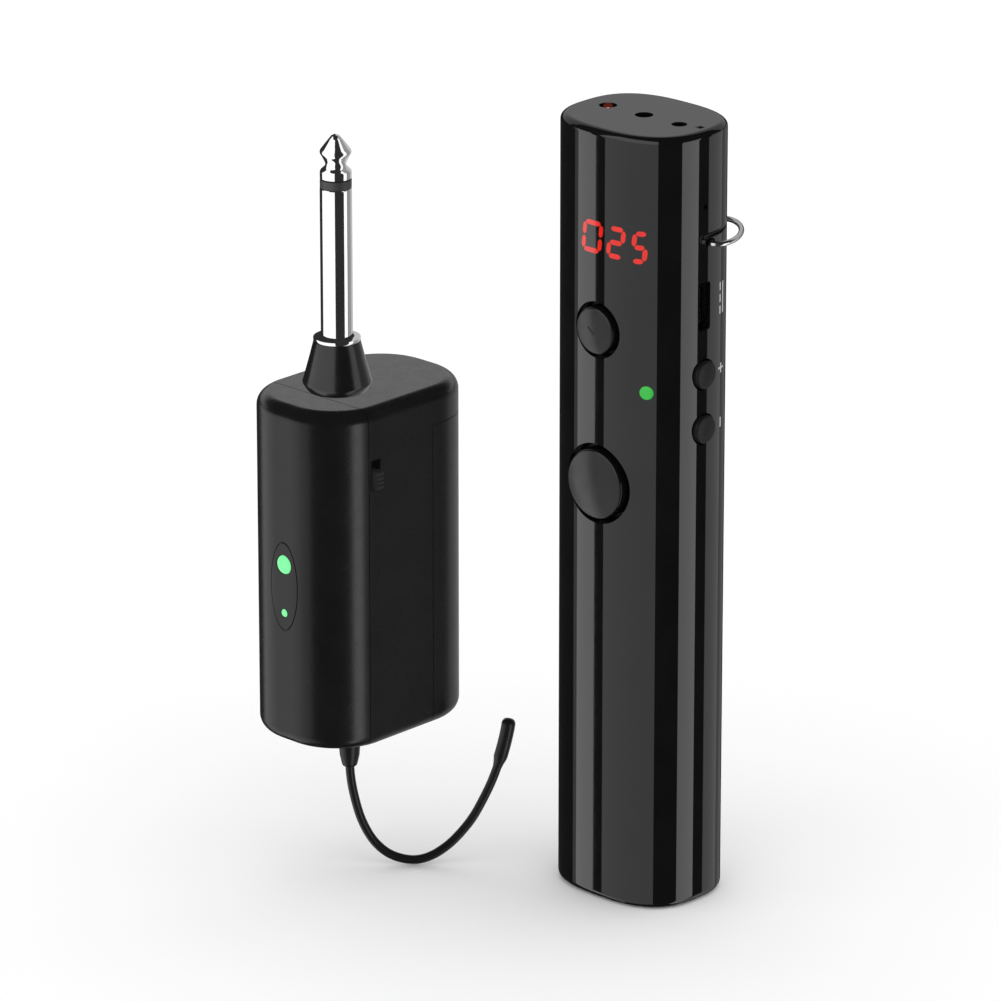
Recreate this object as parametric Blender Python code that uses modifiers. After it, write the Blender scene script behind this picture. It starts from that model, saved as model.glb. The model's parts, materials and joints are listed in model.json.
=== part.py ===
"""Wireless instrument set: a stick transmitter and the plug-on receiver it is paired with.

Units are metres, +Z is up. The origin is the centre of the transmitter's base.
X runs along the transmitter's wide side, and its front with the two round buttons faces -Y.
The receiver's frame is parallel to it, with its own origin at the centre of its base.
"""
from math import cos, pi, radians, sin

import bmesh
import bpy
from mathutils import Matrix, Vector

MM = 0.001
GAP = 0.3 * MM
LIGHT_GAP = 0.15 * MM
LONG = 200 * MM
AXES = {"X": (1, 0, 0), "-Y": (0, -1, 0), "Z": (0, 0, 1), "-Z": (0, 0, -1)}

# Transmitter: a superellipse section, pulled straight up
TX_HALF_X = 16.2 * MM
TX_HALF_Y = 13.2 * MM
TX_POWER = 2.7
TX_LENGTH = 159.8 * MM
TX_EDGE = 1.4 * MM
TX_WALL = 2.0 * MM
TX_ROOF = 2.5 * MM
TX_SIDES = 60
CAP_THICK = 2.0 * MM
DISPLAY_Z = 137.9 * MM
DISPLAY_X = 3.4 * MM
POWER_Z = 119.1 * MM
POWER_HOLE = 5.75 * MM
TALK_Z = 87.5 * MM
TALK_HOLE = 8.2 * MM
PORT_Z = 124.4 * MM
PORT_HALF = (1.65 * MM, 4.9 * MM)
VOLUME_Z = {"up": 110.5 * MM, "down": 99.3 * MM}
VOLUME_HOLE = 3.2 * MM
PINHOLE_Z = 144.6 * MM
STATUS_Z = 108.2 * MM
STATUS_X = 11.2 * MM
STATUS_RADIUS = 1.5 * MM
BAIL_START = Vector((16.0 * MM, 1.7 * MM, 137.2 * MM))
BAIL_ALONG = Vector((-0.6, 0.8, 0))
BAIL_OUT = Vector((0.8, 0.6, 0))
BAIL_MIDDLE = 6.75
BAIL_WIRE = 0.55 * MM
TOP_HOLES = {"lamp": (-9.5 * MM, 1.8 * MM), "jack": (0.0, 1.8 * MM), "mic": (9.2 * MM, 1.55 * MM)}
BOARD_Y = 4.0 * MM
BOARD_THICK = 1.2 * MM
SIDE_BOARD_X = 6.0 * MM
CELL_LOW = 9.2 * MM
CELL_LENGTH = 65.0 * MM
CHASSIS_LOW = 3.0 * MM
RAIL_X = 10.2 * MM
RAIL_Y = (5.6 * MM, 7.4 * MM)
CAP_SCREW_X = 6.0 * MM
BOARD_SCREW_X = -7.0 * MM
BOARD_SCREW_Z = {"lower": 102 * MM, "upper": 148 * MM}

# Receiver: a box with round upright corners, standing beside the transmitter
RX_BASE = Vector((-47.3 * MM, -31.5 * MM, 31.2 * MM))
RX_HALF_X = 14.55 * MM
RX_HALF_Y = 21.05 * MM
RX_HEIGHT = 70.7 * MM
RX_CORNER = 12.5 * MM
RX_EDGE = 2.8 * MM
RX_WALL = 1.8 * MM
RX_SEAM_Y = -11.4 * MM
DOOR_Y = 6.0 * MM
DOOR_TOP = 63.5 * MM
PARTITION = (3.9 * MM, 5.4 * MM)
PLATE_HALF = (3.6 * MM, 9.15 * MM)
PLATE_Z = 33.3 * MM
PLATE_DEPTH = 1.0 * MM
PAIR_Z = 37.85 * MM
PAIR_RADIUS = 1.9 * MM
POWER_LIGHT_Z = 27.7 * MM
POWER_LIGHT_RADIUS = 0.8 * MM
SLIDE_Y = -9.7 * MM
SLIDE_SLOT_Z = (54.2 * MM, 60.4 * MM)
SLIDE_SLOT_WIDTH = 2.4 * MM
PLUG_Y = -5.7 * MM
PLUG_RADIUS = 3.175 * MM
SHOULDER_Z = 81.7 * MM
ANTENNA_Y = -3.0 * MM
WHIP_RADIUS = 0.9 * MM
WHIP_TIP_RADIUS = 1.4 * MM
WHIP_HEADING = radians(43.5)
WHIP_ROUTE = [(0, 0.9), (0, -4.0), (0, -8.3), (0.15, -11.8), (0.8, -16.0), (2.2, -21.2), (4.4, -25.6),
              (7.2, -28.5), (10.3, -29.9), (13.5, -30.2), (16.6, -29.2), (19.6, -27.1), (22.2, -24.4),
              (24.7, -21.0), (27.0, -16.6), (29.0, -11.9), (30.6, -6.7), (31.6, -2.4), (32.0, 0.3)]
TIP_SHARE = 0.865
AAA_LENGTH = 44.5 * MM
AAA_LOW = 9.0 * MM
AAA_PLACE = (5.5 * MM, 11.6 * MM)

COLOURS = {
    "gloss_black": ((0.008, 0.008, 0.009), 0.12, 0.0),
    "satin_black": ((0.012, 0.012, 0.013), 0.38, 0.0),
    "chassis": ((0.05, 0.05, 0.055), 0.6, 0.0),
    "board": ((0.01, 0.12, 0.05), 0.5, 0.0),
    "dark_part": ((0.02, 0.02, 0.022), 0.5, 0.0),
    "red_lamp": ((0.6, 0.02, 0.01), 0.2, 0.0),
    "green_lamp": ((0.03, 0.45, 0.08), 0.25, 0.0),
    "mint_lamp": ((0.2, 0.85, 0.35), 0.3, 0.0),
    "steel": ((0.62, 0.63, 0.65), 0.25, 1.0),
    "chrome": ((0.85, 0.86, 0.88), 0.08, 1.0),
    "cell_wrap": ((0.02, 0.12, 0.35), 0.35, 0.0),
    "rubber": ((0.015, 0.015, 0.016), 0.55, 0.0),
}


# ---------------------------------------------------------------- scene, materials and parents

def clear_scene():
    for item in list(bpy.data.objects):
        bpy.data.objects.remove(item, do_unlink=True)


def new_collection(name):
    collection = bpy.data.collections.new(name)
    bpy.context.scene.collection.children.link(collection)
    return collection


def make_materials():
    made = {}
    for name, (colour, roughness, metallic) in COLOURS.items():
        item = bpy.data.materials.new(name)
        item.use_nodes = True
        shader = item.node_tree.nodes["Principled BSDF"]
        shader.inputs["Base Color"].default_value = (*colour, 1)
        shader.inputs["Roughness"].default_value = roughness
        shader.inputs["Metallic"].default_value = metallic
        made[name] = item
    return made


def new_empty(name, location):
    item = bpy.data.objects.new(name, None)
    item.location = location
    PARTS.objects.link(item)
    return item


def settle(item, name, parent, colour=None):
    """Name an object, parent it, and file it with the parts, or with the cutters if it has no colour."""
    for collection in list(item.users_collection):
        collection.objects.unlink(item)
    item.name = name
    item.data.name = name
    item.parent = parent
    if colour is None:
        CUTTERS.objects.link(item)
        item.hide_render = True
        item.display_type = "WIRE"
        return item
    PARTS.objects.link(item)
    item.data.materials.clear()
    item.data.materials.append(MATERIALS[colour])
    item.data.shade_smooth()
    item.data.set_sharp_from_angle(angle=radians(35))
    return item


# ---------------------------------------------------------------- basic solids

def box(name, low, high, parent, colour=None, edge=0.0):
    low = Vector(low)
    high = Vector(high)
    bpy.ops.mesh.primitive_cube_add(size=1, location=(low + high) / 2)
    item = bpy.context.object
    item.data.transform(Matrix.Diagonal((*(high - low), 1)))
    settle(item, name, parent, colour)
    if edge:
        bevel(item, edge, 2)
    return item


def rod(name, start, direction, radius, length, parent, colour=None, sides=24):
    """A cylinder from start, along direction."""
    direction = Vector(direction).normalized()
    middle = Vector(start) + direction * length / 2
    turn = direction.to_track_quat("Z", "Y").to_euler()
    bpy.ops.mesh.primitive_cylinder_add(vertices=sides, radius=radius, depth=length,
                                        location=middle, rotation=turn)
    return settle(bpy.context.object, name, parent, colour)


def turned(name, profile, place, parent, colour=None, axis="Z", steps=32):
    """A turned solid. The profile's (radius, height) points run down its outer side, top to bottom."""
    points = [(r * MM, 0, h * MM) for r, h in profile]
    closed = all(r > 0 for r, _ in profile)
    edges = [(i, i + 1) for i in range(len(points) - 1)]
    if closed:
        edges.append((len(points) - 1, 0))
    mesh = bpy.data.meshes.new(name)
    mesh.from_pydata(points, edges, [])
    item = bpy.data.objects.new(name, mesh)
    PARTS.objects.link(item)
    item.location = place
    if axis != "Z":
        item.rotation_euler = Vector(AXES[axis]).to_track_quat("Z", "Y").to_euler()
    screw = item.modifiers.new("turn", "SCREW")
    screw.steps = steps
    screw.render_steps = steps
    screw.use_merge_vertices = True
    screw.merge_threshold = 0.00002
    screw.use_smooth_shade = True
    return settle(item, name, parent, colour)


def outline_solid(name, outline, low, high, parent, colour=None, edge=0.0, plane="XY"):
    """A flat outline with thickness. In plane XZ the outline stands up and low and high are along Y."""
    curve = bpy.data.curves.new(name, "CURVE")
    curve.dimensions = "2D"
    curve.fill_mode = "BOTH"
    curve.extrude = (high - low) / 2
    spline = curve.splines.new("POLY")
    spline.points.add(len(outline) - 1)
    for point, (x, y) in zip(spline.points, outline):
        point.co = (x, y, 0, 1)
    spline.use_cyclic_u = True
    item = bpy.data.objects.new(name, curve)
    PARTS.objects.link(item)
    if plane == "XY":
        item.location = (0, 0, (low + high) / 2)
    else:
        item.location = (0, (low + high) / 2, 0)
        item.rotation_euler = (pi / 2, 0, 0)
    item = as_mesh(item)
    settle(item, name, parent, colour)
    if edge:
        bevel(item, edge, 3)
    return item


def tube(name, points, radius, parent, colour=None, place=(0, 0, 0)):
    """A wire of one radius along a list of points."""
    curve = bpy.data.curves.new(name, "CURVE")
    curve.dimensions = "3D"
    curve.bevel_depth = radius
    curve.bevel_resolution = 2
    curve.use_fill_caps = True
    spline = curve.splines.new("POLY")
    spline.points.add(len(points) - 1)
    for target, point in zip(spline.points, points):
        target.co = (*point, 1)
    item = bpy.data.objects.new(name, curve)
    PARTS.objects.link(item)
    item.location = place
    item = as_mesh(item)
    return settle(item, name, parent, colour)


def as_mesh(curve_object):
    """Replace a curve object by its mesh, with the loose caps joined on."""
    bpy.context.view_layer.update()
    evaluated = curve_object.evaluated_get(bpy.context.evaluated_depsgraph_get())
    mesh = bpy.data.meshes.new_from_object(evaluated)
    shape = bmesh.new()
    shape.from_mesh(mesh)
    bmesh.ops.remove_doubles(shape, verts=shape.verts, dist=0.00001)
    bmesh.ops.recalc_face_normals(shape, faces=shape.faces)
    shape.to_mesh(mesh)
    shape.free()
    item = bpy.data.objects.new(curve_object.name, mesh)
    PARTS.objects.link(item)
    item.matrix_world = curve_object.matrix_world
    bpy.data.objects.remove(curve_object, do_unlink=True)
    return item


# ---------------------------------------------------------------- modifiers

def bevel(item, width, segments):
    change = item.modifiers.new("edge", "BEVEL")
    change.width = width
    change.segments = segments
    change.limit_method = "ANGLE"
    change.angle_limit = radians(50)


def boolean(item, other, operation):
    change = item.modifiers.new(other.name, "BOOLEAN")
    change.object = other
    change.operation = operation
    change.solver = "EXACT"


def cut(item, *cutters):
    for cutter in cutters:
        boolean(item, cutter, "DIFFERENCE")


def join(item, *others):
    for other in others:
        boolean(item, other, "UNION")


# ---------------------------------------------------------------- outlines

def superellipse(inset):
    """The transmitter's section, drawn in by inset."""
    half_x = TX_HALF_X - inset
    half_y = TX_HALF_Y - inset
    points = []
    for step in range(TX_SIDES):
        angle = 2 * pi * (step + 0.5) / TX_SIDES
        reach = (abs(cos(angle)) ** TX_POWER + abs(sin(angle)) ** TX_POWER) ** (-1 / TX_POWER)
        points.append((half_x * reach * cos(angle), half_y * reach * sin(angle)))
    return points


def round_box(half_x, half_y, corner, steps=8):
    """A rectangle with round corners, anticlockwise."""
    points = []
    for quarter, (side_x, side_y) in enumerate(((1, 1), (-1, 1), (-1, -1), (1, -1))):
        centre = (side_x * (half_x - corner), side_y * (half_y - corner))
        for step in range(steps + 1):
            angle = pi / 2 * (quarter + step / steps)
            points.append((centre[0] + corner * cos(angle), centre[1] + corner * sin(angle)))
    return points


def ellipse(half_x, half_y, centre, sides=40):
    angles = [2 * pi * step / sides for step in range(sides)]
    return [(half_x * cos(a), centre + half_y * sin(a)) for a in angles]


def transmitter_skin(x):
    """The front surface's y at a given x, and the outward normal there."""
    share = 1 - (abs(x) / TX_HALF_X) ** TX_POWER
    y = -TX_HALF_Y * share ** (1 / TX_POWER)
    normal = Vector(((abs(x) / TX_HALF_X) ** (TX_POWER - 1) / TX_HALF_X,
                     -(abs(y) / TX_HALF_Y) ** (TX_POWER - 1) / TX_HALF_Y, 0))
    return Vector((x, y, 0)), normal.normalized()


# ---------------------------------------------------------------- repeated small pieces

def screw(name, place, axis, length, parent):
    """A small pan screw: its head's top is at place, and axis points out of the head."""
    profile = [(0, 0), (1.3, 0), (1.6, -0.25), (1.6, -0.8), (0.7, -0.8), (0.7, -length), (0, -length)]
    item = turned(name, profile, place, parent, "steel", axis, steps=16)
    return item


def push_switch(name, place, axis, height, plunger, parent):
    """A square push switch. place is the middle of its foot, and axis points to its button."""
    half = 3.0 * MM
    direction = Vector(AXES[axis])
    across = [half if abs(value) < 0.5 else 0.0 for value in direction]
    foot = Vector(place)
    face = foot + direction * height
    low = [min(a, b) - c for a, b, c in zip(foot, face, across)]
    high = [max(a, b) + c for a, b, c in zip(foot, face, across)]
    item = box(name, low, high, parent, "dark_part")
    knob = rod(name + "_plunger", face - direction * 0.5 * MM, direction, 1.6 * MM,
               plunger + 0.5 * MM, parent, sides=16)
    join(item, knob)
    return item


def round_button(name, place, axis, sizes, colour, parent):
    """A button cap on a flange that keeps it behind its wall, with a stem towards its switch.

    sizes, in millimetres: cap radius, flange radius, and the distances inwards from the cap's face
    to the flange's front, to its back and to the end of the stem, and the stem's radius.
    """
    cap, flange, front, back, end, stem = sizes
    profile = [(0, 0.0), (cap * 0.55, -0.05), (cap - 0.6, -0.18), (cap - 0.2, -0.4), (cap, -0.8),
               (cap, -front), (flange, -front), (flange, -back), (stem, -back), (stem, -end), (0, -end)]
    return turned(name, profile, place, parent, colour, axis, steps=24)


# ---------------------------------------------------------------- transmitter

def tx_housing():
    """The glossy sleeve, closed at the top and open at the base."""
    body = outline_solid("tx_housing", superellipse(0), 0, TX_LENGTH, TX, "gloss_black", TX_EDGE)
    cavity = outline_solid("cut_tx_cavity", superellipse(TX_WALL), -5 * MM, TX_LENGTH - TX_ROOF, TX)
    cut(body, cavity)
    window = outline_solid("cut_tx_window", superellipse(1.0 * MM), DISPLAY_Z - 5.6 * MM,
                           DISPLAY_Z + 5.6 * MM, TX)
    window_side = box("cut_tx_window_side", (DISPLAY_X - 8.6 * MM, -LONG, 0),
                      (DISPLAY_X + 8.6 * MM, -4 * MM, LONG), TX)
    boolean(window, window_side, "INTERSECT")
    cut(body, window)
    cut(body, rod("cut_tx_power", (0, 0, POWER_Z), (0, -1, 0), POWER_HOLE, 20 * MM, TX, sides=40))
    cut(body, rod("cut_tx_talk", (0, 0, TALK_Z), (0, -1, 0), TALK_HOLE, 20 * MM, TX, sides=48))
    for way, height in VOLUME_Z.items():
        cut(body, rod("cut_tx_volume_" + way, (0, 0, height), (1, 0, 0), VOLUME_HOLE, 20 * MM, TX, sides=28))
    port = outline_solid("cut_tx_port", round_box(*PORT_HALF, 1.6 * MM, 5), 5 * MM, 25 * MM, TX)
    port.rotation_euler = (0, pi / 2, 0)
    port.data.transform(Matrix.Rotation(pi / 2, 4, "Z"))
    port.location = (15 * MM, 0, PORT_Z)
    cut(body, port)
    cut(body, rod("cut_tx_pinhole", (0, 0, PINHOLE_Z), (1, 0, 0), 0.5 * MM, 20 * MM, TX, sides=12))
    for name, (x, radius) in TOP_HOLES.items():
        cut(body, rod("cut_tx_top_" + name, (x, 0, TX_LENGTH - 6 * MM), (0, 0, 1), radius, 10 * MM, TX, sides=24))
    place, normal = status_place()
    cut(body, rod("cut_tx_status", place - normal * 5 * MM, normal, STATUS_RADIUS + LIGHT_GAP, 8 * MM, TX))
    far = 2 * BAIL_MIDDLE
    for end, (first, last) in {"side": (-1.5, 4.6), "back": (far - 4.4, far + 1.8)}.items():
        start = bail_point(first, 0)
        reach = bail_point(last, 0) - start
        cut(body, rod("cut_tx_bail_" + end, start, reach, BAIL_WIRE + GAP, reach.length, TX, sides=16))
    return body


def status_place():
    point, normal = transmitter_skin(STATUS_X)
    return point + Vector((0, 0, STATUS_Z)), normal


def tx_base_cap():
    """The plate that closes the base, held by two screws, flush with the sleeve's rim."""
    plate = outline_solid("tx_base_cap", superellipse(TX_WALL + GAP), 0, CAP_THICK, TX, "satin_black")
    for side, sign in (("left", -1), ("right", 1)):
        sunk_hole = [(0, 5), (1.0, 5), (1.0, 1.1), (1.9, 1.1), (1.9, -1), (0, -1)]
        cut(plate, turned("cut_cap_hole_" + side, sunk_hole, (sign * CAP_SCREW_X, 0, 0), TX, steps=20))
        screw("tx_cap_screw_" + side, (sign * CAP_SCREW_X, 0, 0.2 * MM), "-Z", 6.3, TX)


def tx_chassis():
    """The inner frame: a foot block, two rails, a shelf above the cell and bars behind the board."""
    foot = box("tx_chassis", (-9 * MM, -7 * MM, CHASSIS_LOW), (9 * MM, 7 * MM, 8 * MM), TX, "chassis")
    for side, sign in (("left", -1), ("right", 1)):
        low = (sign * RAIL_X - 0.8 * MM, RAIL_Y[0], CHASSIS_LOW)
        high = (sign * RAIL_X + 0.8 * MM, RAIL_Y[1], 153 * MM)
        join(foot, box("join_rail_" + side, low, high, TX))
        join(foot, box("join_foot_" + side, (sign * 9.6 * MM - 1.4 * MM, 3 * MM, CHASSIS_LOW + 0.1 * MM),
                       (sign * 9.6 * MM + 1.3 * MM, 7.3 * MM, 7.9 * MM), TX))
    join(foot, box("join_shelf", (-10 * MM, -8 * MM, 75.2 * MM), (10 * MM, 7.3 * MM, 77.2 * MM), TX))
    for name, height in BOARD_SCREW_Z.items():
        bar = box("join_bar_" + name, (-10.3 * MM, 5.7 * MM, height - 2 * MM),
                  (10.3 * MM, 8.6 * MM, height + 2 * MM), TX)
        join(foot, bar)
        cut(foot, rod("cut_bar_" + name, (BOARD_SCREW_X, 0, height), (0, 1, 0), 1.0 * MM, 20 * MM, TX, sides=16))
    for side, sign in (("left", -1), ("right", 1)):
        cut(foot, rod("cut_foot_" + side, (sign * CAP_SCREW_X, 0, 0), (0, 0, 1), 1.0 * MM, 7.2 * MM, TX, sides=16))


def tx_boards():
    """The main board on the rails and the side board behind the port and the volume buttons."""
    board = box("tx_main_board", (-11 * MM, BOARD_Y, 78.6 * MM),
                (11 * MM, BOARD_Y + BOARD_THICK, 150 * MM), TX, "board")
    for name, height in BOARD_SCREW_Z.items():
        cut(board, rod("cut_board_" + name, (BOARD_SCREW_X, 0, height), (0, 1, 0), 1.0 * MM, 20 * MM, TX, sides=16))
        screw("tx_board_screw_" + name, (BOARD_SCREW_X, BOARD_Y - 0.9 * MM, height), "-Y", 4.4, TX)
    box("tx_side_board", (SIDE_BOARD_X, -4.5 * MM, 93 * MM), (SIDE_BOARD_X + MM, 3.5 * MM, 131 * MM), TX, "board")
    push_switch("tx_power_switch", (0, BOARD_Y - GAP, POWER_Z), "-Y", 3.3 * MM, 0.8 * MM, TX)
    push_switch("tx_talk_switch", (0, BOARD_Y - GAP, TALK_Z), "-Y", 3.3 * MM, 0.8 * MM, TX)
    for way, height in VOLUME_Z.items():
        push_switch("tx_volume_%s_switch" % way, (SIDE_BOARD_X + 1.3 * MM, 0, height), "X",
                    3.2 * MM, 0.8 * MM, TX)


def tx_power_train():
    """The cylindrical cell between its two contacts."""
    length = CELL_LENGTH / MM
    profile = [(0, length), (2.6, length), (2.6, length - 1.4), (8.4, length - 1.4), (9.0, length - 2.2),
               (9.0, 0.5), (8.6, 0), (0, 0)]
    turned("tx_battery", profile, (0, 0, CELL_LOW), TX, "cell_wrap")
    rod("tx_contact_low", (0, 0, 8.3 * MM), (0, 0, 1), 5 * MM, 0.6 * MM, TX, "steel")
    rod("tx_contact_high", (0, 0, 74.45 * MM), (0, 0, 1), 4 * MM, 0.5 * MM, TX, "steel")


def tx_controls():
    """The two front buttons, the two volume buttons and the corner light."""
    power_face = (0, -TX_HALF_Y - 1.2 * MM, POWER_Z)
    round_button("tx_power_button", power_face, "-Y", (4.8, 6.6, 4.3, 5.3, 12.9, 1.5), "gloss_black", TX)
    talk_face = (0, -TX_HALF_Y - 1.3 * MM, TALK_Z)
    round_button("tx_talk_button", talk_face, "-Y", (7.1, 9.0, 5.1, 6.2, 13.0, 2.0), "gloss_black", TX)
    for way, height in VOLUME_Z.items():
        face = (TX_HALF_X + 1.0 * MM, 0, height)
        round_button("tx_volume_%s_button" % way, face, "X", (2.85, 3.9, 3.8, 4.7, 5.2, 1.2),
                     "satin_black", TX)
    place, normal = status_place()
    rod("tx_status_light", place + normal * 0.05 * MM, -normal, STATUS_RADIUS, 6 * MM, TX, "green_lamp")


def tx_top_end():
    """The display block, and what sits under the three holes in the top."""
    box("tx_display", (DISPLAY_X - 8.2 * MM, -8.2 * MM, DISPLAY_Z - 5.3 * MM),
        (DISPLAY_X + 7.6 * MM, BOARD_Y - GAP, DISPLAY_Z + 5.3 * MM), TX, "dark_part")
    ceiling = TX_LENGTH - TX_ROOF - GAP
    jack = box("tx_phone_jack", (-4 * MM, -3.2 * MM, 145 * MM), (4 * MM, BOARD_Y - GAP, ceiling), TX, "dark_part")
    cut(jack, rod("cut_jack_bore", (0, 0, 146.5 * MM), (0, 0, 1), 1.8 * MM, 20 * MM, TX))
    x, _ = TOP_HOLES["mic"]
    rod("tx_microphone", (x, 0, ceiling - 2.8 * MM), (0, 0, 1), 3 * MM, 2.8 * MM, TX, "steel")
    x, _ = TOP_HOLES["lamp"]
    dome = [(sin(radians(a)), 7.3 + cos(radians(a))) for a in range(0, 91, 18)]
    turned("tx_signal_lamp", dome + [(1.0, 3.0), (1.5, 3.0), (1.5, 0.9), (1.9, 0.9), (1.9, 0), (0, 0)],
           (x, 0, ceiling - 6.0 * MM), TX, "red_lamp", steps=20)


def tx_charge_socket():
    """A metal shell with a tongue inside, behind the slot in the narrow side."""
    back = SIDE_BOARD_X + 1.3 * MM
    mouth = TX_HALF_X - TX_WALL - GAP
    shell = outline_solid("tx_charge_socket", round_box(1.6 * MM, 4.45 * MM, 1.5 * MM, 5), 0, mouth - back,
                          TX, "steel")
    hollow = outline_solid("cut_socket", round_box(1.3 * MM, 4.15 * MM, 1.25 * MM, 5), MM, 20 * MM, TX)
    tongue = box("join_socket_tongue", (-0.35 * MM, -3.3 * MM, 0.5 * MM),
                 (0.35 * MM, 3.3 * MM, mouth - back - 0.8 * MM), TX)
    cut(shell, hollow)
    join(shell, tongue)
    for item in (shell, hollow, tongue):
        item.data.transform(Matrix.Translation(item.location))
        item.data.transform(Matrix.Rotation(pi / 2, 4, "Z"))
        item.data.transform(Matrix.Rotation(pi / 2, 4, "Y"))
        item.location = (back, 0, PORT_Z)


def tx_antenna_wire():
    points = [(0, 9.9 * MM, height * MM) for height in (80, 100, 122, 144)]
    tube("tx_antenna_wire", points, 0.4 * MM, TX, "steel")


def bail_point(along, out):
    """A point of the bail's plane, in millimetres along its pivot line and out from it."""
    return BAIL_START + BAIL_ALONG * along * MM + BAIL_OUT * out * MM


def tx_lanyard_bail():
    """A wire loop round the rear corner whose ends turn in two holes on one line."""
    middle = BAIL_MIDDLE
    half_span = middle + 1.7
    foot = 0.9
    rise = 4.5
    route = [(2.6, 0), (1.0, 0), (-0.4, 0), (-1.05, 0.13), (-1.55, 0.45)]
    for step in range(21):
        angle = pi * (1 - step / 20)
        route.append((middle + half_span * cos(angle), foot + rise * sin(angle)))
    route += [(2 * middle - along, out) for along, out in reversed(route[:5])]
    pivot = bail_point(middle, 0)
    points = [bail_point(along, out) - pivot for along, out in route]
    tube("tx_lanyard_bail", points, BAIL_WIRE, TX, "chrome", pivot)


# ---------------------------------------------------------------- receiver

def rx_outer(name, colour=None):
    outline = round_box(RX_HALF_X, RX_HALF_Y, RX_CORNER)
    return outline_solid(name, outline, 0, RX_HEIGHT, RX, colour, RX_EDGE)


def rx_cavity(name, low, high):
    outline = round_box(RX_HALF_X - RX_WALL, RX_HALF_Y - RX_WALL, RX_CORNER - RX_WALL)
    return outline_solid(name, outline, low, high, RX)


def rx_slide_slot():
    middle = SLIDE_Y
    half = SLIDE_SLOT_WIDTH / 2
    return box("cut_slide_slot", (8 * MM, middle - half, SLIDE_SLOT_Z[0]),
               (20 * MM, middle + half, SLIDE_SLOT_Z[1]), RX)


def rx_shells():
    """The front and rear halves, parted at the seam, and the door that closes the cell bay."""
    inside = rx_cavity("cut_rx_cavity", RX_WALL, RX_HEIGHT - RX_WALL)
    front = rx_outer("rx_front_shell", "satin_black")
    front_side = box("keep_front", (-LONG, -LONG, -LONG), (LONG, RX_SEAM_Y - GAP / 2, LONG), RX)
    boolean(front, front_side, "INTERSECT")
    recess = outline_solid("cut_plate", ellipse(PLATE_HALF[0] + LIGHT_GAP, PLATE_HALF[1] + LIGHT_GAP, PLATE_Z),
                           -RX_HALF_Y - 5 * MM, -RX_HALF_Y + PLATE_DEPTH, RX, plane="XZ")
    cut(front, inside, recess)
    for name, height, radius in (("pair", PAIR_Z, PAIR_RADIUS), ("power", POWER_LIGHT_Z, POWER_LIGHT_RADIUS)):
        cut(front, rod("cut_shell_" + name, (0, -RX_HALF_Y - 5 * MM, height), (0, 1, 0),
                       radius + LIGHT_GAP, 12 * MM, RX))

    rear = rx_outer("rx_rear_shell", "satin_black")
    rear_side = box("keep_rear", (-LONG, RX_SEAM_Y + GAP / 2, -LONG), (LONG, LONG, LONG), RX)
    boolean(rear, rear_side, "INTERSECT")
    bay = box("cut_bay", (-LONG, DOOR_Y, -LONG), (LONG, LONG, DOOR_TOP + GAP), RX)
    cut(rear, inside, rx_slide_slot(), bay)
    join(rear, box("join_partition", (-12.9 * MM, PARTITION[0], MM), (12.9 * MM, PARTITION[1], 68 * MM), RX))
    for name, low, high in (("low", 5.2, 6.9), ("top", 55.6, 57.2)):
        join(rear, box("join_cell_shelf_" + name, (-9.5 * MM, PARTITION[0] + 0.4 * MM, low * MM),
                       (9.5 * MM, 14.5 * MM, high * MM), RX))
    plug_hole = rod("cut_plug_hole", (0, PLUG_Y, 60 * MM), (0, 0, 1), PLUG_RADIUS + GAP, 20 * MM, RX, sides=32)
    relief_hole = rod("cut_relief_hole", (0, ANTENNA_Y, -5 * MM), (0, 0, 1), 1.9 * MM, 10 * MM, RX)
    cut(rear, plug_hole, relief_hole)

    door = rx_outer("rx_battery_door", "satin_black")
    door_side = box("keep_door", (-LONG, DOOR_Y + GAP, -LONG), (LONG, LONG, DOOR_TOP), RX)
    boolean(door, door_side, "INTERSECT")
    cut(door, rx_cavity("cut_door_cavity", RX_WALL, LONG))


def rx_light_plate():
    """The oval inlay in the front end, with the lit pairing button and the small power light."""
    face = -RX_HALF_Y
    plate = outline_solid("rx_light_plate", ellipse(PLATE_HALF[0], PLATE_HALF[1], PLATE_Z),
                          face - 0.05 * MM, face + PLATE_DEPTH - LIGHT_GAP, RX, "gloss_black", plane="XZ")
    for name, height, radius in (("pair", PAIR_Z, PAIR_RADIUS), ("power", POWER_LIGHT_Z, POWER_LIGHT_RADIUS)):
        cut(plate, rod("cut_plate_" + name, (0, face - 5 * MM, height), (0, 1, 0), radius + LIGHT_GAP, 12 * MM, RX))
    profile = [(0, 0), (1.6, -0.06), (1.9, -0.3), (1.9, -2.4), (2.8, -2.4), (2.8, -3.2), (0, -3.2)]
    turned("rx_pair_button", profile, (0, face - 0.2 * MM, PAIR_Z), RX, "mint_lamp", "-Y")
    rod("rx_power_light", (0, face - 0.1 * MM, POWER_LIGHT_Z), (0, 1, 0), POWER_LIGHT_RADIUS, 3 * MM, RX,
        "mint_lamp", sides=16)
    box("rx_front_board", (-6 * MM, -13.6 * MM, 20 * MM), (6 * MM, -12.6 * MM, 44 * MM), RX, "board")
    push_switch("rx_pair_switch", (0, -13.9 * MM, PAIR_Z), "-Y", 2.6 * MM, 0.4 * MM, RX)


def rx_slide_switch():
    """The slide switch: its knob stands through the slot and its flange stays behind it."""
    middle = SLIDE_Y
    knob = box("rx_switch_knob", (10 * MM, middle - 0.9 * MM, 54.5 * MM), (16 * MM, middle + 0.9 * MM, 58.1 * MM),
               RX, "satin_black")
    flange = box("join_knob_flange", (9.8 * MM, middle - 2.1 * MM, 51.7 * MM),
                 (11.2 * MM, middle + 2.1 * MM, 60.9 * MM), RX)
    join(knob, flange)
    box("rx_slide_switch", (5.5 * MM, middle - 2.6 * MM, 50.1 * MM), (9.4 * MM, middle + 2.6 * MM, 64.1 * MM), RX,
        "dark_part")


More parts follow.
